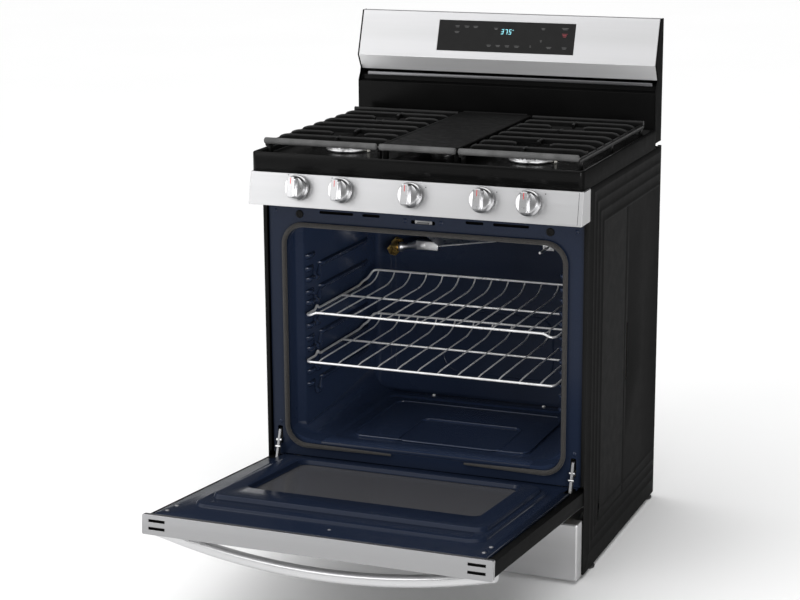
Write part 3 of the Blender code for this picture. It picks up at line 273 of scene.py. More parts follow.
# A lighter, less metallic copy of the stainless for the fascia's down-facing chin: painted light on a shaded
# underside.
CHIN_STEEL_PAINTED_LIGHT = brushed_steel("stainless_chin_painted_light", 0.62, ALONG_X, 0.40, 0.48, 0.15, 0.4)
GLOSS = black_gloss()
SATIN = black_satin("black_satin_steel", 0.010)
SKIRT_SATIN = black_satin("black_satin_skirt", 0.0045)
NAVY = enamel("navy_enamel", 0.95, 0.20, 0.13)
# The cavity and back-wall copies of the enamel have their base lightened (1.65 and 1.50 against 0.95 on the
# frame and door): painted light, for the light that doesn't reach into the cavity.
CAVITY_NAVY_PAINTED_LIGHT = enamel("navy_enamel_cavity_painted_light", 1.65, 0.20, 0.55)
BACK_NAVY_PAINTED_LIGHT = enamel("navy_enamel_back_wall_painted_light", 1.50, 0.30, 0.06)
SCREW_NAVY = enamel("screw_enamel", 1.2, 0.25, 0.20)
IRON = cast_iron("grate_cast_iron", 0.0060, 0.36)
CAP_IRON = cast_iron("cap_enamelled_iron", 0.0060, 0.28)
# The front bars' iron is far lighter than the grates' (0.075 against 0.006): a painted highlight along the
# bars.
BAR_IRON_PAINTED_HIGHLIGHT = cast_iron("front_bar_iron_painted_highlight", 0.075, 0.42)
ZINC = plated("zinc_plate", 0.47, 0.38, 0.55, 0.00015)
CHROME = plated("chrome_wire", 0.78, 0.26, 0.38, 0.00003, 0.45)
DULL_ZINC = plated("dark_zinc", 0.24, 0.40, 0.55, 0.0001)
ALLOY = plated("cast_alloy", 0.66, 0.24, 0.42, 0.0002)
BRASS = brass()
BRAID = braid()
FIBRE = fibre()
GLASS = oven_glass()
GRIDDLE_IRON = plain("griddle_iron", grey(0.0045), 0.55, GRAINY, Specular_IOR_Level=0.05)
NYLON = plain("black_nylon", grey(0.022), 0.55, GRAINY)
RUBBER = plain("black_rubber", grey(0.006), 0.6, GRAINY, Specular_IOR_Level=0.10)
CERAMIC = plain("igniter_ceramic", (0.70, 0.68, 0.62), 0.35, GRAINY)
# Near-black for the dark seam by the end cap, and painted shade on the sheets behind the vent slots and over
# the door's latch hole.
SEAM_AND_SHADE_DARK = plain("dark_seam_and_painted_shade", grey(0.002), 0.9, GRAINY, Specular_IOR_Level=0.01)
DISPLAY = plain("display_glass", grey(0.0070), 0.12, Specular_IOR_Level=0.12)
DIGITS = glow("digit_light", (0.30, 0.80, 0.90), 0.62)
KEYS = plain("key_print", grey(0.10), 0.5)
RED_KEYS = plain("red_key_print", (0.22, 0.02, 0.03), 0.5)
RED = plain("red_index", (0.55, 0.015, 0.02), 0.4)
PRINT = plain("dark_print", grey(0.03), 0.5)


# Outlines and paths


def circle(radius, count):
    turns = [2 * math.pi * i / count for i in range(count)]
    return [(radius * math.cos(turn), radius * math.sin(turn)) for turn in turns]


def arc_rectangle(low, high, radius, steps=8):
    """Corner arcs of a rectangle as (a, b) pairs, anticlockwise from the low corner."""
    corners = (
        (low[0] + radius, low[1] + radius, 180),
        (high[0] - radius, low[1] + radius, 270),
        (high[0] - radius, high[1] - radius, 0),
        (low[0] + radius, high[1] - radius, 90),
    )
    points = []
    for a, b, start in corners:
        for step in range(steps + 1):
            angle = math.radians(start + 90 * step / steps)
            points.append((a + radius * math.cos(angle), b + radius * math.sin(angle)))
    return points


def level_loop(low, high, radius, z, steps=8):
    """A rounded rectangle at one height."""
    return [(x, y, z) for x, y in arc_rectangle(low, high, radius, steps)]


def upright_loop(low, high, radius, y, steps=8):
    """A rounded rectangle that faces the front, at one depth."""
    return [(x, y, z) for x, z in arc_rectangle(low, high, radius, steps)]


def rounded_path(points, radius, steps=5, closed=False):
    """A path with each corner replaced by an arc-like curve of about a radius."""
    path = [Vector(point) for point in points]
    count = len(path)
    made = []
    for i, point in enumerate(path):
        if not closed and i in (0, count - 1):
            made.append(point)
            continue
        before, after = path[i - 1] - point, path[(i + 1) % count] - point
        reach = min(radius, before.length * 0.48, after.length * 0.48)
        start, end = point + before.normalized() * reach, point + after.normalized() * reach
        for step in range(steps + 1):
            t = step / steps
            made.append(start * (1 - t) ** 2 + point * 2 * t * (1 - t) + end * t * t)
    return made


# Meshes and pieces


class Shape:
    def __init__(self, bm=None):
        self.bm = bm or bmesh.new()

    def loft(self, loops, ring=False, caps=True):
        """Joins each loop of points to the next, capped at its ends or closed as a ring."""
        rows = [[self.bm.verts.new(point) for point in loop] for loop in loops]
        pairs = list(zip(rows, rows[1:]))
        if ring:
            pairs.append((rows[-1], rows[0]))
        elif caps:
            self.bm.faces.new(rows[0])
            self.bm.faces.new(rows[-1])
        count = len(rows[0])
        for near, far in pairs:
            for i in range(count):
                j = (i + 1) % count
                self.bm.faces.new((near[i], near[j], far[j], far[i]))
        return rows

    def lathe(self, profile, count=48, place=Matrix.Identity(4)):
        """Turns (radius, height) pairs about Z, then places them."""
        loops = []
        for radius, height in profile:
            loops.append([place @ Vector((x, y, height)) for x, y in circle(radius, count)])
        self.loft(loops)

    def block(self, low, high, width=0.0, segments=2):
        """A box between two corners, with its edges rounded by width."""
        block = bmesh.new()
        for vert in bmesh.ops.create_cube(block, size=1.0)["verts"]:
            for axis in range(3):
                vert.co[axis] = high[axis] if vert.co[axis] > 0 else low[axis]
        if width:
            bmesh.ops.bevel(
                block, geom=block.edges[:], offset=width, segments=segments, profile=0.5, affect="EDGES"
            )
        mesh = bpy.data.meshes.new("block")
        block.to_mesh(mesh)
        block.free()
        self.bm.from_mesh(mesh)
        bpy.data.meshes.remove(mesh)

    def sweep(self, path, section, closed=False, up=None, scale=None):
        """Carries a section of (side, height) pairs along a path; scale(t) shrinks it along the way."""
        path = [Vector(point) for point in path]
        count = len(path)
        directions = [(path[(i + 1) % count] - path[i]).normalized() for i in range(count)]
        if not closed:
            directions[-1] = directions[-2]
        side = (up.cross(directions[0]) if up else directions[0].orthogonal()).normalized()
        loops = []
        for i, point in enumerate(path):
            before = directions[i - 1] if i or closed else directions[0]
            tangent = (before + directions[i]).normalized()
            side = up.cross(tangent) if up else side - tangent * side.dot(tangent)
            side.normalize()
            top = tangent.cross(side)
            size = scale(i / (count - 1)) if scale else 1.0
            loops.append([point + side * a * size + top * b * size for a, b in section])
        self.loft(loops, ring=closed)

    def tube(self, path, radius, sides=10, closed=False):
        self.sweep(path, circle(radius, sides), closed)

    def bead(self, path, radius, corner=0.012):
        """A pressed bead along a wall: a tube half sunk in it, with tapered ends."""
        path = rounded_path(path, corner, 6)
        self.sweep(path, circle(radius, 12), scale=lambda t: min(1.0, 0.25 + 9 * t, 0.25 + 9 * (1 - t)))

    def nut(self, centre, direction, radius, length):
        """A hexagon nut about an axis."""
        axis = Vector(direction).normalized()
        side = axis.orthogonal().normalized()
        other = axis.cross(side)
        loops = []
        for along, size in ((-0.5, 0.88), (-0.38, 1.0), (0.38, 1.0), (0.5, 0.88)):
            end = Vector(centre) + axis * length * along
            loops.append([end + (side * a + other * b) * size for a, b in circle(radius, 6)])
        self.loft(loops)

    def screw(self, centre, normal, radius=0.0042, height=0.0022):
        """A pan head with a sunk middle, standing on a surface."""
        turn = Vector(normal).normalized().to_track_quat("Z", "Y").to_matrix().to_4x4()
        place = Matrix.Translation(centre) @ turn
        dome = [(1.0, 0.0), (1.0, 0.35), (0.8, 0.8), (0.35, 1.0), (0.22, 0.55)]
        self.lathe([(radius * across, height * up) for across, up in dome], 20, place)

    def round_edges(self, width, segments=2, angle=25.0):
        """Bevels every edge sharper than an angle."""
        limit = math.radians(angle)
        edges = [edge for edge in self.bm.edges if edge.is_manifold and edge.calc_face_angle(0.0) > limit]
        bmesh.ops.bevel(
            self.bm,
            geom=edges,
            offset=width,
            segments=segments,
            profile=0.5,
            affect="EDGES",
            clamp_overlap=False,
        )

    def finish(self, name, material, slot, node=None, body="range_body", smooth=38, place=None):
        """A piece that rides on a body and may stand for a CAD node. material is one or a list."""
        if place:
            bmesh.ops.transform(self.bm, matrix=place, verts=self.bm.verts[:])
        bmesh.ops.recalc_face_normals(self.bm, faces=self.bm.faces[:])
        mesh = bpy.data.meshes.new(name)
        self.bm.to_mesh(mesh)
        self.bm.free()
        for each in material if isinstance(material, list) else [material]:
            mesh.materials.append(each)
        mesh.shade_smooth()
        mesh.set_sharp_from_angle(angle=math.radians(smooth))
        piece = bpy.data.objects.new(name, mesh)
        bpy.context.scene.collection.objects.link(piece)
        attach(piece, body)
        if node:
            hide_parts(node)
        return piece


def cad_copy(node):
    """A CAD node's shape with its flat faces whole."""
    bm = bmesh.new()
    bm.from_mesh(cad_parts[node].data)
    bmesh.ops.remove_doubles(bm, verts=bm.verts[:], dist=1e-6)
    bmesh.ops.dissolve_limit(bm, angle_limit=math.radians(1), verts=bm.verts[:], edges=bm.edges[:])
    return Shape(bm)


def soften(node, material, slot, width=0.0006, segments=2, body="range_body"):
    """A CAD node with its edges rounded, standing for the node, and kept inside the node's box."""
    shape = cad_copy(node)
    shape.round_edges(width, segments)
    low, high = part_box(node)
    for vert in shape.bm.verts:
        vert.co = Vector(min(max(value, a), b) for value, a, b in zip(vert.co, low, high))
    piece = shape.finish(f"{node}_finished", material, slot, node, body)
    piece.modifiers.new("flat_faces", "WEIGHTED_NORMAL").keep_sharp = True
    return piece


def paint(piece, test):
    """Gives the faces that pass a test the piece's second material."""
    for face in piece.data.polygons:
        face.material_index = int(test(face))


def thicken(piece, thickness, offset):
    """Makes a single surface a sheet."""
    sheet = piece.modifiers.new("sheet", "SOLIDIFY")
    sheet.thickness = thickness
    sheet.offset = offset


# Body shell


def make_side_panel(name, side):
    """A pressed side: nested ribs open to the rear, a centre crease, two slits and turned flanges."""
    relief, pitch, count = 0.0014, 0.0255, 4
    face = HALF_WIDTH - relief
    front_first, top_first, low_first = 0.034, 0.010, 0.034
    crease_y, crease_low, crease_high = 0.304, 0.107, 0.774
    notch_low, notch_high = 0.132, 0.212
    slits = ((0.321, 0.3275, 0.372, 0.506), (0.108, 0.1135, 0.104, 0.141))

    ys = {BODY_FRONT, BODY_BACK - 0.012, BODY_BACK - 0.0145, BODY_BACK}
    ys.update((crease_y - 0.0022, crease_y, crease_y + 0.0022))
    zs = {BODY_LOW, BODY_TOP, notch_low, notch_high, crease_low, crease_high}
    for k in range(count):
        for step in (0.0, 0.0020, 0.0055, 0.0075):
            ys.add(BODY_FRONT + front_first + pitch * k + step)
            zs.add(BODY_TOP - top_first - pitch * k - step)
            zs.add(BODY_LOW + low_first + pitch * k + step)
    for y0, y1, z0, z1 in slits:
        ys.update((y0, y1))
        zs.update((z0, z1))
    ys, zs = sorted(ys), sorted(zs)
    gaps = [y for y in ys if y > 0.14]
    ys = sorted(ys + [(a + b) / 2 for a, b in zip(gaps, gaps[1:]) if b - a > 0.03])

    def out(y, z):
        nearest = min(y - BODY_FRONT - front_first, BODY_TOP - z - top_first, z - BODY_LOW - low_first)
        if any(0.0015 < nearest - pitch * k < 0.0060 for k in range(count)):
            return face + relief
        if abs(y - crease_y) < 0.001 and crease_low <= z <= crease_high:
            return face - 0.0012
        if abs(y - BODY_BACK + 0.012) < 1e-5 and 0.115 < z < 0.765:
            return face + relief * 0.7
        return face

    shape = Shape()
    turned = HALF_WIDTH - 0.011
    head = [(turned, BODY_FRONT), (face - 0.002, BODY_FRONT), (face - 0.0006, BODY_FRONT + 0.0006)]
    tail = [(face - 0.0006, BODY_BACK - 0.0006), (face - 0.002, BODY_BACK), (turned, BODY_BACK)]
    rows = []
    for z in zs:
        line = head + [(out(y, z), y) for y in ys[1:-1]] + tail
        rows.append([shape.bm.verts.new((side * x, y, z)) for x, y in line])
    for near, far, z in zip(rows, rows[1:], [(a + b) / 2 for a, b in zip(zs, zs[1:])]):
        for i in range(len(near) - 1):
            y = (near[i].co.y + near[i + 1].co.y) / 2
            in_slit = any(y0 < y < y1 and z0 < z < z1 for y0, y1, z0, z1 in slits)
            in_notch = i == 0 and notch_low < z < notch_high
            if not in_slit and not in_notch:
                shape.bm.faces.new((near[i], near[i + 1], far[i + 1], far[i]))
    thicken(shape.finish(f"{name}_pressed", SATIN, "satin_black", name, smooth=50), 0.0010, -1.0)


def make_foot(corner):
    """A levelling foot: moulded pad, hexagon and threaded shank."""
    node = f"leveling_leg_{corner}"
    low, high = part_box(node)
    centre = ((low.x + high.x) / 2, (low.y + high.y) / 2)
    place = Matrix.Translation((*centre, 0.0))
    shape = Shape()
    pad = [(0.0172, 0.0), (0.0186, 0.0008), (0.0189, 0.0042), (0.0178, 0.0056), (0.0125, 0.0064)]
    shape.lathe(pad, 40, place)
    shape.nut((*centre, 0.0080), (0, 0, 1), 0.0125, 0.0032)
    turn = 0.0012
    threads = []
    for k in range(19):
        height = 0.0096 + turn * k
        threads += [(0.0048, height), (0.0055, height + turn / 2)]
    shape.lathe(threads, 20, place)
    shape.finish(f"{node}_moulded", NYLON, "nylon", node)


def make_rear_details():
    """The rear panel's screws and its pressed ribs, no further back than the gas inlet."""
    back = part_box("rear_panel")[1].y - 0.0005
    half = HALF_WIDTH - 0.016
    places = [(x, z) for z in (0.045, 0.25, 0.45, 0.65, 0.855) for x in (-half, half)]
    screws = Shape()
    for x, z in places + [(x, 0.855) for x in (-0.2, 0.0, 0.2)]:
        screws.screw((x, back, z), (0, 1, 0))
    screws.finish("rear_screws", ZINC, "zinc")
    ribs = Shape()
    for z in (0.30, 0.42, 0.54, 0.66):
        ribs.block((-0.30, back - 0.0004, z), (0.30, back + 0.0022, z + 0.012), 0.0018)
    ribs.finish("rear_ribs", ZINC, "zinc")


def make_blanket():
    """The fibre blanket, uneven at its sides as loose fibre is."""
    shape = cad_copy("oven_insulation")
    bm = shape.bm
    bmesh.ops.triangulate(bm, faces=bm.faces[:])
    longest, side_start, sink, tufts = 0.06, 0.33, 0.002, 25
    for _ in range(3):
        long_edges = [edge for edge in bm.edges if edge.calc_length() > longest]
        bmesh.ops.subdivide_edges(bm, edges=long_edges, cuts=1)
        bmesh.ops.triangulate(bm, faces=bm.faces[:])
    low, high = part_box("oven_insulation")
    centre = (low + high) / 2
    for vert in bm.verts:
        if abs(vert.co.x) > side_start:
            inward = (centre - vert.co).normalized()
            vert.co += inward * sink * (0.5 + 0.5 * noise.noise(vert.co * tufts))
    shape.finish("oven_blanket", FIBRE, "blanket", "oven_insulation")


def make_body():
    make_side_panel("side_panel_left", -1)
    make_side_panel("side_panel_right", 1)
    soften("rear_panel", ZINC, "zinc", 0.0003, 1)
    soften("base_frame", ZINC, "zinc", 0.0006)
    soften("oven_base_shield", ZINC, "zinc", 0.0005)
    soften("pressure_regulator", ALLOY, "alloy", 0.0008)
    soften("gas_manifold", ZINC, "zinc", 0.0005)
    for corner in BURNER_RADII:
        make_foot(corner)
    make_rear_details()
    make_blanket()


# Cooktop, burners and grates


def make_cooktop(places):
    """The drawn enamel tray: skirt, rolled rim, slope and well, with a raised ring round each burner."""
    profile = [
        (0.0000, SKIRT_LOW), (0.0000, COOKTOP_TOP - 0.0042), (0.0004, COOKTOP_TOP - 0.0022),
        (0.0013, COOKTOP_TOP - 0.0008), (0.0030, COOKTOP_TOP), (0.0075, COOKTOP_TOP - 0.0003),
        (0.0098, COOKTOP_TOP - 0.0022), (0.0150, WELL_Z + 0.0022), (0.0172, WELL_Z + 0.0005),
        (0.0200, WELL_Z), (0.0300, WELL_Z),
    ]
    loops = []
    for inset, z in profile:
        low, high = (inset - HALF_WIDTH, COOKTOP_FRONT + inset), (HALF_WIDTH - inset, COOKTOP_BACK - inset)
        loops.append(level_loop(low, high, 0.012 - inset * 0.3, z))
    shape = Shape()
    rows = shape.loft(loops, caps=False)
    shape.bm.faces.new(rows[-1])
    tray = shape.finish("cooktop_tray", [GLOSS, SKIRT_SATIN], "black_enamel", "cooktop", smooth=60)
    paint(tray, lambda face: abs(face.normal.x) > 0.75)
    thicken(tray, 0.0012, -1.0)
    rings = Shape()
    for x, y, radius in places.values():
        ring = ((0.010, -0.0004), (0.012, 0.0010), (0.015, 0.0014), (0.019, -0.0004))
        loops = [[(x + a, y + b, WELL_Z + z) for a, b in circle(radius + away, 56)] for away, z in ring]
        rings.loft(loops, ring=True)
    rings.finish("well_rings", GLOSS, "black_enamel", smooth=60)


def burner_places():
    """Each round burner's centre and radius."""
    places = {}
    for corner, radius in BURNER_RADII.items():
        x = -BURNER_X if corner.endswith("left") else BURNER_X
        y = BURNER_FRONT_Y if corner.startswith("front") else BURNER_BACK_Y
        places[corner] = (x, y, radius)
    return places


def make_round_burner(corner, x, y, radius):
    """A cast head with flame ports round its rim, and an enamelled cap."""
    place = Matrix.Translation((x, y, BURNER_SEAT))
    base = [
        (0.020, -0.022), (0.024, -0.020), (0.024, 0.0), (radius, 0.0), (radius + 0.0018, 0.0014),
        (radius + 0.0018, 0.0034), (radius - 0.0010, 0.0052), (radius - 0.0045, 0.0060),
        (radius - 0.0055, 0.0078), (0.012, 0.0080),
    ]
    head = Shape()
    head.lathe(base, 64, place)
    add_port_teeth(head, 30, radius - 0.0062, 0.0076, 0.0134, place)
    head.finish(f"burner_head_{corner}", ALLOY, "alloy", f"burner_base_{corner}")
    rim = radius - 0.0085
    low = 0.0138
    cap = [
        (rim - 0.004, low), (rim - 0.0008, low + 0.0004), (rim, low + 0.0018), (rim, low + 0.0042),
        (rim - 0.0010, low + 0.0060), (rim - 0.0040, low + 0.0074), (rim - 0.0120, low + 0.0078),
        (0.006, low + 0.0078),
    ]
    lid = Shape()
    lid.lathe(cap, 64, place)
    lid.finish(f"burner_lid_{corner}", CAP_IRON, "cast_iron", f"burner_cap_{corner}")


def add_port_teeth(shape, count, radius, low, high, place):
    """Teeth round a burner head, with a flame port between each two."""
    share = 0.62 * math.pi / count
    root = radius - 0.0065
    for k in range(count):
        angle = 2 * math.pi * k / count
        loops = []
        for height, inset in ((low, 0.0), (high, 0.0008)):
            tip = radius - inset
            start, end = angle - share, angle + share
            corners = [(root, start), (tip, start), (tip, end), (root, end)]
            loops.append([place @ Vector((r * math.cos(a), r * math.sin(a), height)) for r, a in corners])
        shape.loft(loops)


def make_igniter(x, y):
    """A spark electrode: ceramic sleeve and bent wire tip."""
    base = Vector((x, y, WELL_Z + 0.0002))
    label = f"{x:.2f}_{y:.2f}".replace("-", "m")
    sleeve = Shape()
    profile = [(0.0036, 0.0), (0.0036, 0.003), (0.0026, 0.004), (0.0026, 0.0125), (0.0020, 0.0135)]
    sleeve.lathe(profile, 20, Matrix.Translation(base))
    sleeve.finish(f"igniter_{label}", CERAMIC, "alloy")
    tip = Shape()
    bends = [base + Vector(step) for step in ((0, 0, 0.012), (0, 0, 0.017), (0.004, 0, 0.0185))]
    tip.tube(rounded_path(bends, 0.002), 0.0008, 8)
    tip.finish(f"igniter_tip_{label}", CHROME, "chrome")


def stadium(half, long_half, height):
    """The oval burner's outline at a height above its seat."""
    points = []
    for centre, start in ((long_half - half, 0), (half - long_half, 180)):
        for step in range(17):
            angle = math.radians(start + 180 * step / 16)
            y = OVAL_Y + centre + half * math.sin(angle)
            points.append((half * math.cos(angle), y, BURNER_SEAT + height))
    return points


def make_oval_burner():
    head = Shape()
    base = [
        (0.018, 0.073, -0.0215), (0.018, 0.073, 0.0), (0.0325, 0.1295, 0.0), (0.0330, 0.1300, 0.0030),
        (0.0310, 0.1280, 0.0055), (0.0285, 0.1255, 0.0062), (0.0275, 0.1245, 0.0130),
        (0.0220, 0.1190, 0.0130),
    ]
    head.loft([stadium(*row) for row in base])
    head.finish("burner_head_center", ALLOY, "alloy", "burner_base_center")
    lid = Shape()
    rows = [
        (0.0285, 0.1255, 0.0138), (0.0305, 0.1275, 0.0146), (0.0310, 0.1280, 0.0165),
        (0.0300, 0.1270, 0.0195), (0.0270, 0.1240, 0.0211), (0.0180, 0.1150, 0.0214),
    ]
    lid.loft([stadium(*row) for row in rows])
    lid.finish("burner_lid_center", CAP_IRON, "cast_iron", "burner_cap_center")


def bar_section(half, height):
    """A cast bar's section: a rounded top on a tapered web, (side, height) with its top at 0."""
    right = [(0.70, -height), (1.0, -height * 0.35), (1.0, -0.0022), (0.72, -0.0006), (0.30, 0.0)]
    right = [(half * share, z) for share, z in right]
    left = [(-a, z) for a, z in reversed(right)]
    return [left[-1]] + right + left[:-1]


def cast_bar(shape, points, half=0.0042, height=0.0125):
    shape.sweep(rounded_path(points, 0.010, 4), bar_section(half, height), up=UP)


def add_grate_bars(shape, side):
    """Cross bars of a side grate: their outer ends turn down to the side rail."""
    inner, outer, top = GRATE_SEAM + 0.0005, GRATE_OUTER, GRATE_TOP
    pitch = (GRATE_BACK_Y - GRATE_FIRST_BAR_Y) / GRATE_BARS
    start = [(inner, top - 0.0075), (inner + 0.008, top - 0.001), (inner + 0.018, top)]
    end = [(outer - 0.020, top), (outer - 0.0055, top - 0.0045), (outer - 0.0004, top - 0.011)]
    tip = [(BURNER_X - 0.046, top), (BURNER_X - 0.038, top - 0.003)]
    far_tip = [(BURNER_X + 0.038, top - 0.003), (BURNER_X + 0.046, top)]
    for k in range(GRATE_BARS):
        y = GRATE_FIRST_BAR_Y + pitch * k
        near_burner = min(abs(y - BURNER_FRONT_Y), abs(y - BURNER_BACK_Y)) < 0.025
        for path in [start + tip, far_tip + end] if near_burner else [start + end]:
            cast_bar(shape, [(side * x, y, z) for x, z in path])


def make_grate(name, side):
    """A cast grate: side rails, cross bars, burner fingers, a round front bar and feet."""
    shape = Shape()
    add_grate_bars(shape, side)
    front, back = GRATE_FRONT_Y, GRATE_BACK_Y
    rails = (GRATE_SEAM + 0.0046, GRATE_OUTER - 0.0046)
    for x in rails:
        rail = [(side * x, front + 0.004, 0.9335), (side * x, back, 0.9335)]
        shape.sweep(rail, bar_section(0.0044, 0.011), up=UP)
    back_bar = [(side * x, back, GRATE_TOP) for x in (GRATE_SEAM + 0.0006, GRATE_OUTER - 0.0006)]
    shape.sweep(back_bar, bar_section(0.0050, 0.0170), up=UP)
    for burner_y in (BURNER_FRONT_Y, BURNER_BACK_Y):
        for sign in (-1, 1):
            steps = ((0.074, 0.0006), (0.046, 0.0006), (0.036, 0.004))
            finger = [(side * BURNER_X, burner_y + sign * away, GRATE_TOP - drop) for away, drop in steps]
            cast_bar(shape, finger, 0.0040, 0.0115)
    for x in rails:
        for y in (front + 0.024, 0.238, back - 0.012):
            low, high = (side * x - 0.0036, y - 0.006, BURNER_SEAT), (side * x + 0.0036, y + 0.006, 0.9255)
            shape.block(low, high, 0.0012)
    body = "left_grate" if side < 0 else "right_grate"
    shape.finish(f"{name}_casting", IRON, "cast_iron", name, body, smooth=45)
    make_front_bar(f"{name}_front_bar", side * (GRATE_SEAM + 0.0007), side * (GRATE_OUTER - 0.0004), body)


def make_front_bar(name, start, end, body):
    """The round front bar of one section, with domed ends."""
    radius = 0.0072
    direction = 1 if end > start else -1
    turns = [math.radians(angle) for angle in (12, 35, 60, 90)]
    dome = [(radius * math.sin(turn), radius * 0.5 * (1 - math.cos(turn))) for turn in turns]
    profile = dome + [(r, abs(end - start) - h) for r, h in reversed(dome)]
    shape = Shape()
    turn = Matrix.Rotation(math.radians(90 * direction), 4, "Y")
    shape.lathe(profile, 28, Matrix.Translation((start, GRATE_FRONT_Y, 0.936)) @ turn)
    # The bar takes the lightened iron: a painted highlight.
    shape.finish(name, BAR_IRON_PAINTED_HIGHLIGHT, "cast_iron", None, body, smooth=50)


def make_griddle():
    """A cast plate with a raised edge, on feet, with its own length of front bar."""
    half = GRATE_SEAM - 0.003
    front, back = GRATE_FRONT_Y + 0.014, GRATE_BACK_Y + 0.004
    top = GRATE_TOP - 0.0008
    rows = [
        (0.004, 0.9338), (0.0006, 0.9352), (0.0, top - 0.0020), (0.0006, top - 0.0006),
        (0.0020, top), (0.0060, top), (0.0075, top - 0.0006), (0.0090, top - 0.0014),
    ]
    loops = []
    for inset, z in rows:
        low, high = (inset - half, front + inset), (half - inset, back - inset)
        loops.append(level_loop(low, high, max(0.002, 0.008 - inset * 0.4), z, 5))
    shape = Shape()
    shape.loft(loops)
    for x in (-half + 0.008, half - 0.008):
        for y in (GRATE_FRONT_Y + 0.024, back - 0.012):
            shape.block((x - 0.0044, y - 0.006, BURNER_SEAT), (x + 0.0044, y + 0.006, 0.9345), 0.0012)
        shape.block((x - 0.0060, GRATE_FRONT_Y, 0.9292), (x + 0.0060, GRATE_FRONT_Y + 0.022, 0.9392), 0.0015)
    shape.tube([(x, back - 0.004, top - 0.0004) for x in (0.010 - half, half - 0.010)], 0.0036, 12)
    shape.finish("griddle_casting", GRIDDLE_IRON, "cast_iron", "griddle_plate", "center_griddle", smooth=50)
    make_front_bar("griddle_front_bar", 0.0007 - half, half - 0.0007, "center_griddle")


def make_top():
    places = burner_places()
    make_cooktop(places)
    for corner, (x, y, radius) in places.items():
        make_round_burner(corner, x, y, radius)
        make_igniter(x + radius + 0.006, y - 0.012)
    make_oval_burner()
    make_grate("grate_left", -1)
    make_grate("grate_right", 1)
    make_griddle()


# Backguard


def display_frame():
    """Matrix whose XY plane is the display's face, with its origin at the face's middle."""
    middle_z = (DISPLAY_LOW + DISPLAY_HIGH) / 2
    lean, rise = GUARD_TOP_Y - GUARD_LIP_Y, GUARD_TOP - GUARD_LIP_Z
    face_y = GUARD_LIP_Y + lean * (middle_z - GUARD_LIP_Z) / rise
    right, up = Vector((1, 0, 0)), Vector((0, lean, rise)).normalized()
    turn = Matrix((right, up, right.cross(up))).transposed().to_4x4()
    return Matrix.Translation((0, face_y, middle_z)) @ turn


def add_digit(shape, segments, x, y, width, height):
    """One seven-segment digit on the display's plane."""
    t, slant = height * 0.085, 0.12
    half = height / 2
    bars = {
        "a": (0, height - t, width, height),
        "g": (0, half - t / 2, width, half + t / 2),
        "d": (0, 0, width, t),
        "b": (width - t, half, width, height),
        "c": (width - t, 0, width, half),
        "f": (0, half, t, height),
    }
    for key in segments:
        x0, y0, x1, y1 = bars[key]
        corners = [(x0, y0), (x1, y0), (x1, y1), (x0, y1)]
        shape.loft([[(x + a + b * slant, y + b, z) for a, b in corners] for z in (-0.0002, 0.00025)])


def add_key(shape, x, y, width):
    """A printed key mark: two short lines."""
    for offset, share in ((0.0014, 1.0), (-0.0014, 0.7)):
        half = width * share / 2
        shape.block((x - half, y + offset - 0.0005, -0.0002), (x + half, y + offset + 0.0005, 0.0002))


def make_display():
    """The glass touch panel with three lit digits and unlabelled key marks."""
    plane = display_frame()
    soften("display_panel", DISPLAY, "display_glass", 0.0004)
    digits = Shape()
    for index, segments in enumerate(("abcdg", "abc", "acdfg")):
        add_digit(digits, segments, -0.0128 + index * 0.0096, 0.0070, 0.0058, 0.0120)
    digits.loft([[(0.0172 + a, 0.0172 + b, z) for a, b in circle(0.0010, 12)] for z in (-0.0002, 0.00025)])
    digits.finish("display_digits", DIGITS, "display_glass", place=plane)
    keys = [
        (-0.124, 0.0225, 0.011), (-0.100, 0.0225, 0.012), (-0.078, 0.0225, 0.012), (-0.124, 0.0085, 0.012),
        (-0.026, 0.0195, 0.009), (0.092, 0.0225, 0.009), (-0.040, -0.0220, 0.011), (-0.017, -0.0220, 0.011),
        (0.006, -0.0220, 0.011), (0.030, -0.0220, 0.013), (0.064, -0.0205, 0.004), (0.089, -0.0070, 0.005),
        (0.110, -0.0220, 0.013), (0.148, -0.0220, 0.011), (0.146, 0.0245, 0.016),
    ]
    stop_key = [(0.146, 0.0110, 0.014), (0.146, 0.0065, 0.010)]
    for name, material, marks in (("display_keys", KEYS, keys), ("display_stop_key", RED_KEYS, stop_key)):
        shape = Shape()
        for mark in marks:
            add_key(shape, *mark)
        shape.finish(name, material, "display_glass", place=plane)


def make_backguard():
    """The black housing with satin sides, the steel fascia over it, the vent rail and the display."""
    housing = soften("backguard_housing", [GLOSS, SKIRT_SATIN], "black_enamel", 0.0008)
    paint(housing, lambda face: abs(face.normal.x) > 0.5)
    fascia = soften("backguard_fascia", [STEEL, CHIN_STEEL_PAINTED_LIGHT], "stainless", 0.0007, 3)
    # The fascia's down-facing chin takes the lighter, part-diffuse copy of the steel: painted light.
    paint(fascia, lambda face: face.normal.z < -0.25)
    rail = Shape()
    rail.block((-0.352, 0.5560, 1.0135), (0.364, 0.5640, 1.0215), 0.0015, 3)
    rail.finish("vent_rail", RAIL_STEEL, "stainless")
    make_display()


# Control panel and knobs


def knob_frame(x):
    """Matrix whose +Z points out along a knob's axis and whose +Y points up the panel."""
    face_y = PANEL_TOP_Y - PANEL_LEAN * (PANEL_TOP - KNOB_Z) / (PANEL_TOP - PANEL_LOW)
    right, up = Vector((1, 0, 0)), Vector((0, math.sin(PANEL_TILT), math.cos(PANEL_TILT)))
    turn = Matrix((right, up, right.cross(up))).transposed().to_4x4()
    return Matrix.Translation((x, face_y, KNOB_Z)) @ turn


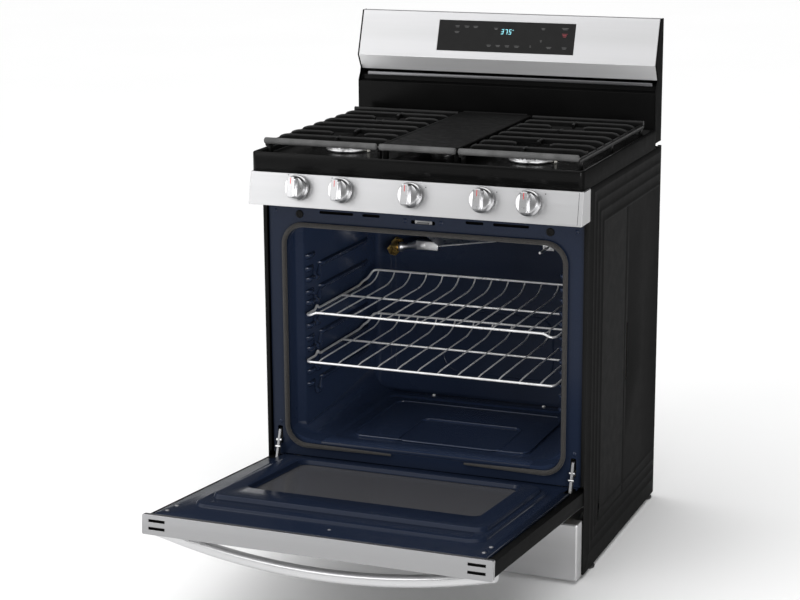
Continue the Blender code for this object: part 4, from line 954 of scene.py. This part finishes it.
def make_knob(node, x):
    """A metal knob: a skirt, a drum and a tall bar grip with a red index line."""
    place = knob_frame(x)
    low = KNOB_STANDOFF
    turned = [
        (0.0055, 0.0015), (0.0255, 0.0), (0.0272, 0.0006), (0.0280, 0.0020), (0.0280, 0.0052),
        (0.0274, 0.0066), (0.0258, 0.0080), (0.0246, 0.0090), (0.0238, 0.0108), (0.0231, 0.0182),
        (0.0225, 0.0197), (0.0210, 0.0203), (0.0060, 0.0199),
    ]
    metal = Shape()
    metal.lathe([(radius, low + height) for radius, height in turned], 64)
    loops = []
    for inset, z in ((0.0, 0.0160), (0.0002, 0.0352), (0.0006, 0.0370), (0.0018, 0.0380)):
        corner = (0.0090 - inset, 0.0227 - inset)
        loops.append(level_loop((-corner[0], -corner[1]), corner, 0.0045 - inset, low + z, 7))
    metal.loft(loops)
    metal.finish(f"{node}_metal", KNOB_STEEL, "stainless", node, node, 32, place)
    index = Shape()
    index.block((-0.0008, 0.0070, low + 0.0376), (0.0008, 0.0205, low + 0.03803))
    index.finish(f"{node}_index", RED, "stainless", None, node, place=place)


def make_panel_marks():
    """Printed dots beside the knobs, at an angle and a distance from each one's axis."""
    marks = [(133, 0.0364)], [(133, 0.0355)], [(85, 0.0330), (30, 0.0370)], [(32, 0.0350)], [(32, 0.0400)]
    dots = Shape()
    for x, spots in zip(KNOB_X, marks):
        place = knob_frame(x)
        for angle, away in spots:
            turn = math.radians(angle)
            spot = Vector((away * math.cos(turn), away * math.sin(turn), 0.0))
            rims = [[spot + Vector((a, b, z)) for a, b in circle(0.0013, 12)] for z in (-0.0002, 0.0003)]
            dots.loft([[place @ point for point in rim] for rim in rims])
    dots.finish("panel_dots", PRINT, "stainless")


def make_controls():
    soften("control_panel", STEEL, "stainless", 0.0008, 3)
    for number, x in enumerate(KNOB_X, 1):
        make_knob(f"knob_{number}", x)
        soften(f"valve_stem_{number}", ZINC, "zinc", 0.0003, body=f"stem_{number}")
    make_panel_marks()
    seam = Shape()
    seam.block((0.3716, -0.0400, -0.0002), (0.3724, 0.0285, 0.00012))
    seam.finish("end_cap_seam", SEAM_AND_SHADE_DARK, "stainless", place=knob_frame(0.0))


# Oven


def make_front_frame():
    """The enamelled front, its door bumpers, screws and the latch's receiver."""
    soften("front_frame", NAVY, "navy_enamel", 0.0005)
    bumpers = Shape()
    profile = [(0.0090, -0.0002), (0.0090, 0.0018), (0.0078, 0.0034), (0.0046, 0.0040), (0.0040, 0.0024)]
    for x in (-0.292, 0.292):
        place = Matrix.Translation((x, FRAME_FRONT, 0.770)) @ Matrix.Rotation(math.radians(90), 4, "X")
        bumpers.lathe(profile + [(0.001, 0.0024)], 32, place)
    bumpers.finish("door_bumpers", RUBBER, "satin_black")
    screws = Shape()
    low_screws = [(-0.348, 0.283), (0.352, 0.283)]
    high_screws = [(-0.040, 0.772), (0.044, 0.772), (0.351, 0.774), (-0.351, 0.774)]
    for x, z in low_screws + high_screws:
        screws.screw((x, FRAME_FRONT, z), (0, -1, 0), 0.0048, 0.0024)
    screws.finish("frame_screws", SCREW_NAVY, "navy_enamel")
    strike = Shape()
    strike.block((-0.018, 0.0118, 0.7625), (0.022, 0.0128, 0.7755), 0.0004)
    bends = ((-0.012, 0.0125), (-0.012, 0.0090), (0.014, 0.0090), (0.014, 0.0125))
    strike.tube(rounded_path([(x, y, 0.7685) for x, y in bends], 0.003), 0.0012)
    strike.finish("latch_strike", DULL_ZINC, "zinc")
    # Dark sheets behind the frame's vent slots: painted shade for the dark inside the slots.
    slot_shade = Shape()
    for side in (-1, 1):
        for near, far in ((0.100, 0.141), (0.163, 0.244)):
            low, high = sorted((side * near, side * far))
            slot_shade.block((low - 0.002, 0.0130, 0.770), (high + 0.002, 0.0140, 0.784), 0.0003)
    slot_shade.finish("vent_slot_shade", SEAM_AND_SHADE_DARK, "navy_enamel")


def cavity_loop(grow, y, half=CAVITY_HALF):
    low, high = (-half - grow, CAVITY_LOW - grow), (half + grow, CAVITY_TOP + grow)
    return upright_loop(low, high, CAVITY_CORNER + grow, y, 10)


def make_liner():
    """The enamelled cavity with its pressed rack ledges, stops, wall beads and rounded foot."""
    sheet, wall, back = 0.0010, CAVITY_HALF, CAVITY_BACK
    flare = [(wall, 0.060), (wall + 0.002, 0.056), (MOUTH_HALF - 0.002, 0.047), (MOUTH_HALF, 0.043)]
    flare.append((MOUTH_HALF, FRAME_FRONT + 0.0018))
    shape = Shape()
    loops = [cavity_loop(sheet, back + sheet)]
    loops += [cavity_loop(sheet, y, half) for half, y in flare]
    loops += [cavity_loop(0.0, y, half) for half, y in reversed(flare)]
    turn_in = ((0.0, 0.012), (0.004, 0.0036), (0.012, 0.0))
    loops += [cavity_loop(-inset, back - away) for inset, away in turn_in]
    shape.loft(loops)
    for side in (-1, 1):
        for k in range(RACK_LEVELS):
            add_rack_guide(shape, side, wall, RACK_LOWEST + RACK_STEP * k)
        for z, start in ((0.690, 0.075), (0.702, 0.090)):
            shape.bead([(side * (wall + 0.0015), y, z) for y in (start, 0.440)], 0.0040)
        for x in (0.255, 0.268):
            shape.bead([(side * x, back + 0.0005, z) for z in (0.275, 0.715)], 0.0048)
    shape.tube(upright_loop((-0.130, 0.298), (0.152, 0.455), 0.045, back + 0.0012, 6), 0.0026, 10, True)
    for side in (-1, 1):
        add_cove(shape, side)
    # The cavity walls, beads and coves take the lightened copies of the enamel: painted light.
    cavity = shape.finish("oven_cavity", [CAVITY_NAVY_PAINTED_LIGHT, BACK_NAVY_PAINTED_LIGHT], "navy_enamel", "oven_liner", smooth=45)

    def is_matt(face):
        at_back = abs(face.normal.y) > 0.9 and face.center.y > 0.3
        return at_back or face.center.y < 0.0595

    # The back wall and the front flare take the duller copy, whose base is lightened too: painted light.
    paint(cavity, is_matt)


def add_cove(shape, side):
    """The broad rounded foot of a side wall, from the wall to the floor, up to the mouth."""
    places = [(0.0120, MOUTH_HALF), (0.0440, MOUTH_HALF), (0.0500, 0.3160), (0.0560, 0.3075)]
    loops = []
    for y, half in places + [(0.4610, CAVITY_HALF)]:
        top = COVE_TOP - 0.028 * (0.461 - y) / 0.449
        section = [(half - 0.0003, FLOOR_TOP - 0.0065)]
        for step in range(11):
            turn = math.radians(9 * step)
            across = half - 0.0003 - (half - COVE_FOOT) * (1 - math.cos(turn))
            section.append((across, top - (top - FLOOR_TOP - 0.0006) * math.sin(turn)))
        section.append((COVE_FOOT, FLOOR_TOP - 0.0065))
        loops.append([(side * across, y, z) for across, z in section])
    shape.loft(loops)


def add_ledge(shape, side, wall, top, start, end):
    """A pressed ledge: flat on top, rounded below, drawn down to the wall at its ends."""
    section = [
        (-0.0008, 0.0), (0.0090, 0.0), (0.0112, -0.0012), (0.0118, -0.0040), (0.0100, -0.0080),
        (0.0055, -0.0120), (-0.0008, -0.0145),
    ]
    shares = [(start, 0.10), (start + 0.006, 0.75), (start + 0.014, 1.0)]
    shares += [(end - 0.030, 1.0), (end - 0.012, 0.75), (end, 0.10)]
    loops = []
    for y, share in shares:
        drop = 0.4 + 0.6 * share
        loops.append([(side * (wall - out * share), y, top + down * drop) for out, down in section])
    shape.loft(loops)


def add_rack_guide(shape, side, wall, top):
    """One level's long ledge, the short ledge and stop in front of it, and the bead that joins them."""
    add_ledge(shape, side, wall, top, 0.132, 0.425)
    add_ledge(shape, side, wall, top, 0.062, 0.104)
    add_ledge(shape, side, wall - 0.0004, top + 0.0295, 0.064, 0.112)
    riser = ((0.098, 0.016), (0.112, 0.034), (0.126, 0.030), (0.134, 0.006))
    shape.bead([(side * (wall - 0.0042), y, top - drop) for y, drop in riser], 0.0066, 0.010)


def make_oven_floor():
    """The pressed floor: an outer border, a groove, a plateau and a sunk middle, all with soft steps."""
    high, low = FLOOR_TOP, FLOOR_TOP - 0.0045
    rows = [
        (-0.3025, 0.3025, 0.0120, 0.4640, high - 0.0070, 0.004),
        (-0.3022, 0.3022, 0.0123, 0.4637, high - 0.0012, 0.005),
        (-0.3010, 0.3010, 0.0136, 0.4625, high, 0.007),
        (-0.2455, 0.2555, 0.0600, 0.4270, high, 0.026),
        (-0.2435, 0.2535, 0.0622, 0.4250, high - 0.0006, 0.025),
        (-0.2405, 0.2505, 0.0650, 0.4220, high - 0.0036, 0.024),
        (-0.2385, 0.2485, 0.0670, 0.4200, high - 0.0042, 0.024),
        (-0.2110, 0.2210, 0.0850, 0.3870, high - 0.0044, 0.026),
        (-0.2090, 0.2190, 0.0870, 0.3850, high - 0.0040, 0.026),
        (-0.2055, 0.2155, 0.0900, 0.3820, high - 0.0012, 0.025),
        (-0.2030, 0.2130, 0.0925, 0.3795, high - 0.0008, 0.025),
        (-0.0970, 0.1540, 0.0840, 0.2680, high - 0.0008, 0.022),
        (-0.0945, 0.1515, 0.0862, 0.2655, high - 0.0012, 0.021),
        (-0.0920, 0.1490, 0.0885, 0.2630, low + 0.0010, 0.020),
        (-0.0895, 0.1465, 0.0908, 0.2605, low + 0.0004, 0.020),
    ]
    loops = [level_loop((left, near), (right, far), corner, z) for left, right, near, far, z, corner in rows]
    under = [[(x, y, z - 0.0011) for x, y, z in loop] for loop in loops]
    shape = Shape()
    shape.loft(loops[::-1] + under)
    beads = [((-0.207, 0.0885), (0.217, 0.3835), 0.026), ((-0.095, 0.086), (0.152, 0.266), 0.022)]
    for low, high, corner in beads:
        shape.tube(level_loop(low, high, corner, FLOOR_TOP - 0.0012), 0.0020, 8, True)
    # The floor takes the lightened cavity copy of the enamel: painted light. Its front lip keeps the plain
    # navy.
    pan = shape.finish("oven_floor_pan", [CAVITY_NAVY_PAINTED_LIGHT, NAVY], "navy_enamel", "oven_floor", smooth=50)
    paint(pan, lambda face: face.center.y < 0.0150)
    screws = Shape()
    for x in (-0.276, -0.141, 0.142, 0.276):
        screws.screw((x, 0.452, FLOOR_TOP - 0.0001), (0, 0, 1), 0.0044, 0.0026)
    screws.finish("floor_screws", CHROME, "chrome")


def make_gasket():
    """The braided tube seal, open for a short way along its bottom."""
    half, low, high, y = 0.3285, 0.2335, 0.7470, 0.0025
    corners = upright_loop((-half, low), (half, high), 0.047, y, 12)
    path = [(0.100, y, low), *corners[13:], *corners[:13], (-0.075, y, low)]
    shape = Shape()
    shape.sweep(path, circle(0.0055, 14), scale=lambda t: min(1.0, 0.45 + 40 * t, 0.45 + 40 * (1 - t)))
    shape.finish("door_gasket_braid", BRAID, "gasket", "door_gasket")


def rack_outline(low, front_rise):
    """Half of a rack's perimeter wire: front bar, side wire with its stop, and raised back."""
    front, back, half = RACK_FRONT, RACK_BEND, RACK_HALF
    head = [(half - 0.006, front, low)]
    if front_rise:
        head = [(0.270, front, low + front_rise), (half - 0.010, front + 0.001, low)]
    return head + [
        (half, front + 0.012, low),
        (half, front + 0.058, low),
        (half, front + 0.067, low + 0.0105),
        (half, front + 0.076, low),
        (half, back - 0.022, low),
        (half - 0.001, back - 0.004, low + 0.006),
        (half - 0.006, back + 0.012, low + 0.009),
        (half - 0.014, back + 0.034, low + 0.027),
        (half - 0.030, back + 0.0365, low + 0.0272),
    ]


def make_rack(node, body, level, wire_count, pitch, front_rise):
    """A chrome wire rack: perimeter, cross bar and lengthwise wires that turn up at the back."""
    low = RACK_LOWEST + RACK_STEP * level + 0.0035
    front, back, half = RACK_FRONT, RACK_BEND, RACK_HALF
    right = rack_outline(low, front_rise)
    left = [(-x, y, z) for x, y, z in reversed(right)]
    shape = Shape()
    shape.tube(rounded_path(right + left, 0.008, 4, closed=True), 0.0027, 12, closed=True)
    shape.tube([(-half, 0.249, low - 0.0002), (half, 0.249, low - 0.0002)], 0.0024, 12)
    wire = [
        (front - 0.001, low + front_rise + 0.0015), (front + 0.020, low + 0.0042),
        (back - 0.010, low + 0.0042), (back + 0.022, low + 0.0130), (back + 0.0366, low + 0.0272),
    ]
    for index in range(wire_count):
        x = pitch * (index - (wire_count - 1) / 2)
        shape.tube(rounded_path([(x, y, z) for y, z in wire], 0.018, 6), 0.0017)
    shape.finish(f"{node}_wire", CHROME, "chrome", node, body, 60)


def make_broil_feed():
    """The brass elbow of the broil burner with its nuts, and the cast mixing tube and block behind it."""
    x, y, z = ELBOW_X, ELBOW_Y, ELBOW_Z
    feed = Shape()
    elbow = [(x, CAVITY_BACK + 0.018, z), (x, y, z), (x + 0.0178, y, z)]
    feed.tube(rounded_path(elbow, 0.009, 6), 0.0078, 20)
    feed.nut((x, CAVITY_BACK - 0.009, z), (0, 1, 0), 0.0165, 0.014)
    feed.nut((x - 0.002, y + 0.012, z - 0.010), (-0.1, 1, 0.35), 0.0158, 0.012)
    feed.nut((x + 0.010, y, z + 0.001), (1, 0, 0.2), 0.0138, 0.010)
    feed.finish("broil_feed", BRASS, "brass", "broil_gas_elbow")
    rows = [
        (-0.2265, 0.0110), (-0.2210, 0.0124), (-0.2160, 0.0100), (-0.2080, 0.0076), (-0.1960, 0.0084),
        (-0.1860, 0.0108), (-0.1790, 0.0116),
    ]
    start, slope = rows[0][0], 0.20
    venturi = Shape()
    venturi.loft([[(s, y + a, z + (s - start) * slope + b) for a, b in circle(r, 24)] for s, r in rows])
    z += 0.0100
    venturi.block((-0.1800, y - 0.0130, z - 0.0110), (-0.1230, y + 0.0110, z + 0.0120), 0.0022, 3)
    venturi.block((-0.1720, y - 0.0145, z - 0.0060), (-0.1560, y - 0.0125, z + 0.0070), 0.0008)
    venturi.finish("broil_venturi", ALLOY, "alloy")


def make_broil_plate():
    """The broil burner's plate, twisted up from the back, with a bright turned edge and hangers."""
    loops = []
    for k in range(9):
        share = k / 8
        x, back_z = -0.124 + 0.324 * share, 0.6215 + 0.0505 * share
        under = [(x, 0.440 - 0.240 * t / 8, back_z + (0.742 - back_z) * t / 8) for t in range(9)]
        loops.append(under + [(px, py, pz + 0.0088) for px, py, pz in reversed(under)])
    plate = Shape()
    plate.loft(loops)
    plate.round_edges(0.0015, 2, 40)
    for x in (-0.110, 0.176):
        plate.block((x, 0.206, 0.744), (x + 0.010, 0.216, CAVITY_TOP - 0.0003), 0.0005)
    plate.finish("broil_plate", ALLOY, "alloy", "broil_burner")
    edge = Shape()
    edge.tube([(-0.124, 0.4405, 0.6235), (0.200, 0.4405, 0.6740)], 0.0032, 12)
    edge.finish("broil_plate_edge", CHROME, "chrome")


def make_probe():
    """The temperature probe on its screwed plate."""
    x, z, back, tip = PROBE_X, PROBE_Z, CAVITY_BACK, CAVITY_BACK - 0.070
    shape = Shape()
    shape.tube([(x, y, z) for y in (back + 0.018, tip + 0.002, tip)], 0.0028, 16)
    shape.block((x - 0.014, back - 0.0022, z - 0.009), (x + 0.014, back - 0.0004, z + 0.009), 0.0008)
    for dx in (-0.0095, 0.0095):
        shape.screw((x + dx, back - 0.0022, z), (0, -1, 0), 0.0028, 0.0018)
    shape.finish("probe_and_plate", CHROME, "chrome", "temperature_probe")


def make_hinge(side, x):
    """A hinge arm with its bright roller and pin."""
    soften(f"hinge_arm_{side}", DULL_ZINC, "chrome", 0.0008)
    pins = Shape()
    for y, z, radius in ((0.0012, 0.240, 0.0034), (-0.006, 0.226, 0.0026)):
        pins.tube([(x - 0.0060, y, z), (x + 0.0060, y, z)], radius, 16)
    pins.finish(f"hinge_pins_{side}", ALLOY, "chrome")


def make_oven():
    make_front_frame()
    make_liner()
    make_oven_floor()
    make_gasket()
    make_rack("oven_rack_upper", "upper_rack", 3, 14, 0.0415, 0.008)
    make_rack("oven_rack_lower", "lower_rack", 1, 12, 0.0480, 0.0)
    make_broil_feed()
    make_broil_plate()
    soften("bake_burner", ZINC, "zinc", 0.0003)
    make_probe()
    make_hinge("left", -0.350)
    make_hinge("right", 0.350)


# Door and drawer


def make_door_liner():
    """The enamelled inside of the door: border, raised ring with soft steps, and window recess."""
    top = DOOR_HIGH - DOOR_TRIM - 0.0003
    rows = [
        (0.3570, -0.0440, top, -0.0007, 0.006),
        (0.3570, -0.0440, top, 0.0034, 0.006),
        (0.3566, -0.0436, top - 0.0004, 0.0046, 0.006),
        (0.3556, -0.0426, top - 0.0010, 0.0050, 0.006),
        (0.3190, 0.0390, 0.4970, 0.0050, 0.038),
        (0.3180, 0.0400, 0.4960, 0.0054, 0.037),
        (0.3160, 0.0420, 0.4940, 0.0106, 0.036),
        (0.3148, 0.0432, 0.4928, 0.0112, 0.035),
        (0.3070, 0.0460, 0.4410, 0.0112, 0.032),
        (0.3055, 0.0472, 0.4395, 0.0104, 0.026),
        (0.3035, 0.0490, 0.4375, 0.0104, 0.026),
        (0.3022, 0.0502, 0.4362, 0.0120, 0.026),
        (0.3005, 0.0518, 0.4345, 0.0180, 0.025),
        (0.2990, 0.0532, 0.4330, 0.0189, 0.024),
        (0.2960, 0.0550, 0.4300, 0.0190, 0.024),
        (0.2640, 0.0625, 0.3540, 0.0190, 0.022),
        (0.2625, 0.0638, 0.3526, 0.0184, 0.022),
        (0.2600, 0.0660, 0.3502, 0.0110, 0.021),
        (0.2575, 0.0682, 0.3476, 0.0098, 0.020),
        (0.2550, 0.0700, 0.3450, 0.0098, 0.020),
    ]
    shape = Shape()
    loops = [upright_loop((-half, low), (half, high), r, y) for half, low, high, y, r in rows]
    shape.loft(loops, caps=False)
    cut_hinge_notches(shape.bm)
    liner = shape.finish("door_inside", NAVY, "navy_enamel", "door_liner", "oven_door", 45, DOOR_PLACE)
    thicken(liner, 0.0009, 1.0)
    screws = Shape()
    for x in (-0.3425, 0.3425):
        for z in (0.548, 0.506):
            screws.screw((x, 0.0050, z), (0, 1, 0), 0.0048, 0.0026)
    screws.screw((0.012, 0.0050, 0.534), (0, 1, 0), 0.0040, 0.0020)
    screws.finish("door_screws", DULL_ZINC, "zinc", None, "oven_door", place=DOOR_PLACE)
    # A dark sheet over the latch hole: painted shade standing in for the hole's dark inside.
    hole = Shape()
    hole.block((-0.055, 0.0046, 0.532), (-0.010, 0.0053, 0.537), 0.0002)
    hole.finish("door_latch_hole_shade", SEAM_AND_SHADE_DARK, "navy_enamel", None, "oven_door", place=DOOR_PLACE)


def cut_hinge_notches(bm):
    """Opens the liner where the fixed hinge arms pass."""
    edge, low, high = 0.3430, -0.016, 0.036
    planes = [((edge, 0, 0), (1, 0, 0)), ((-edge, 0, 0), (-1, 0, 0)), ((0, 0, low), UP), ((0, 0, high), UP)]
    for point, normal in planes:
        geometry = bm.verts[:] + bm.edges[:] + bm.faces[:]
        bmesh.ops.bisect_plane(bm, geom=geometry, plane_co=point, plane_no=normal)
    inside = []
    for face in bm.faces:
        middle = face.calc_center_median()
        if abs(middle.x) > edge and low < middle.z < high:
            inside.append(face)
    bmesh.ops.delete(bm, geom=inside, context="FACES")


def make_door_panel():
    """The outer pan: brushed face, black sides."""
    shape = cad_copy("door_outer_panel")
    shape.round_edges(0.0006)
    panel = shape.finish("door_pan", [STEEL, SATIN], "stainless", "door_outer_panel", "oven_door")
    outward = (DOOR_PLACE.to_3x3() @ Vector((0, -1, 0))).normalized()
    paint(panel, lambda face: face.normal.dot(outward) < 0.35)


def handle_section(x, half, root):
    """The handle's section at x, in the door's own Y and Z."""
    bow = 1 - (x / half) ** 2
    outer = root - 0.014 - 0.047 * bow
    inner = min(root, outer + 0.024)
    if inner - outer < 0.010:
        inner = root
    radius = min(0.0085, (inner - outer) * 0.45)
    return [(x, y, z) for y, z in arc_rectangle((outer, 0.5300), (inner, 0.5560), radius, 6)]


def make_handle():
    """The bowed handle, one solid bar with feet that run out into the door's face."""
    half, root, steps = 0.368, DOOR_FACE - 0.0003, 72
    shape = Shape()
    shape.loft([handle_section(-half + 2 * half * k / steps, half, root) for k in range(steps + 1)])
    shape.finish("door_handle_bow", HANDLE_STEEL, "stainless", "door_handle", "oven_door", 50, DOOR_PLACE)


def make_door():
    make_door_panel()
    soften("door_outer_glass", DISPLAY, "door_glass", 0.0006, body="oven_door")
    make_door_liner()
    soften("door_inner_glass", GLASS, "door_glass", 0.0006, body="oven_door")
    soften("door_top_trim", TRIM_STEEL, "stainless", 0.0005, body="oven_door")
    make_handle()


def make_drawer():
    # The drawer front takes the lightened steel: painted light for the open door's shadow.
    soften("drawer_front", DRAWER_STEEL_PAINTED_LIGHT, "stainless", 0.0007, 3, "storage_drawer")
    soften("drawer_box", ZINC, "zinc", 0.0004, body="storage_drawer")


# Studio


def add_light(name, place, size, energy):
    """A rectangular lamp that faces the middle of the range."""
    data = bpy.data.lights.new(name, "AREA")
    data.shape = "RECTANGLE"
    data.size, data.size_y = size
    data.energy = energy
    light = bpy.data.objects.new(name, data)
    light.location = place
    light.rotation_euler = (Vector((0.0, 0.0, 0.55)) - Vector(place)).to_track_quat("-Z", "Y").to_euler()
    bpy.context.scene.collection.objects.link(light)


def add_sky():
    """Soft light from above, a little from the front and the left."""
    data = bpy.data.lights.new("sky", "SUN")
    data.angle = math.radians(105)
    data.energy = 3.5
    sky = bpy.data.objects.new("sky", data)
    sky.rotation_euler = (math.radians(14), math.radians(-16), 0)
    bpy.context.scene.collection.objects.link(sky)


def make_world():
    """A dim white world that the camera sees as plain white past the floor's edge."""
    world = bpy.data.worlds.new("studio")
    world.use_nodes = True
    tree = world.node_tree
    dim = tree.nodes["Background"]
    dim.inputs["Color"].default_value = (1, 1, 1, 1)
    dim.inputs["Strength"].default_value = 0.07
    white = tree.nodes.new("ShaderNodeBackground")
    white.inputs["Strength"].default_value = 1.0
    pick = tree.nodes.new("ShaderNodeMixShader")
    tree.links.new(tree.nodes.new("ShaderNodeLightPath").outputs["Is Camera Ray"], pick.inputs[0])
    tree.links.new(dim.outputs[0], pick.inputs[1])
    tree.links.new(white.outputs[0], pick.inputs[2])
    tree.links.new(pick.outputs[0], tree.nodes["World Output"].inputs["Surface"])
    bpy.context.scene.world = world


def make_floor():
    bm = bmesh.new()
    bmesh.ops.create_grid(bm, x_segments=8, y_segments=8, size=40)
    mesh = bpy.data.meshes.new("floor")
    bm.to_mesh(mesh)
    bm.free()
    pale = Finish("pale_floor", grey(0.92), 0.9)
    pale.mottle(pale.noise(0.8), grey(0.915), grey(0.925))
    mesh.materials.append(pale.material)
    floor = bpy.data.objects.new("floor", mesh)
    bpy.context.scene.collection.objects.link(floor)


def make_camera():
    """The camera: 91 mm lens, 4.3 m away, turned 21.7 degrees to the range's right and 13.6 degrees down."""
    data = bpy.data.cameras.new("camera")
    data.sensor_width = 36.0
    data.lens = 90.56
    data.clip_end = 200.0
    camera = bpy.data.objects.new("camera", data)
    turn = Matrix.Rotation(math.radians(21.706), 4, "Z")
    tilt = Matrix.Rotation(math.radians(90 - 13.61), 4, "X")
    roll = Matrix.Rotation(math.radians(-0.351), 4, "Z")
    camera.matrix_world = Matrix.Translation((1.5421, -3.9977, 1.6368)) @ turn @ tilt @ roll
    bpy.context.scene.collection.objects.link(camera)
    bpy.context.scene.camera = camera


def make_studio():
    bpy.context.scene.view_settings.view_transform = "Standard"
    make_world()
    make_floor()
    add_sky()
    add_light("key", (-3.6, -4.4, 1.9), (2.2, 3.4), 88)
    add_light("front", (3.4, -3.8, 0.9), (2.0, 1.6), 125)
    make_camera()


make_studio()
make_body()
make_top()
make_backguard()
make_controls()
make_oven()
make_door()
make_drawer()
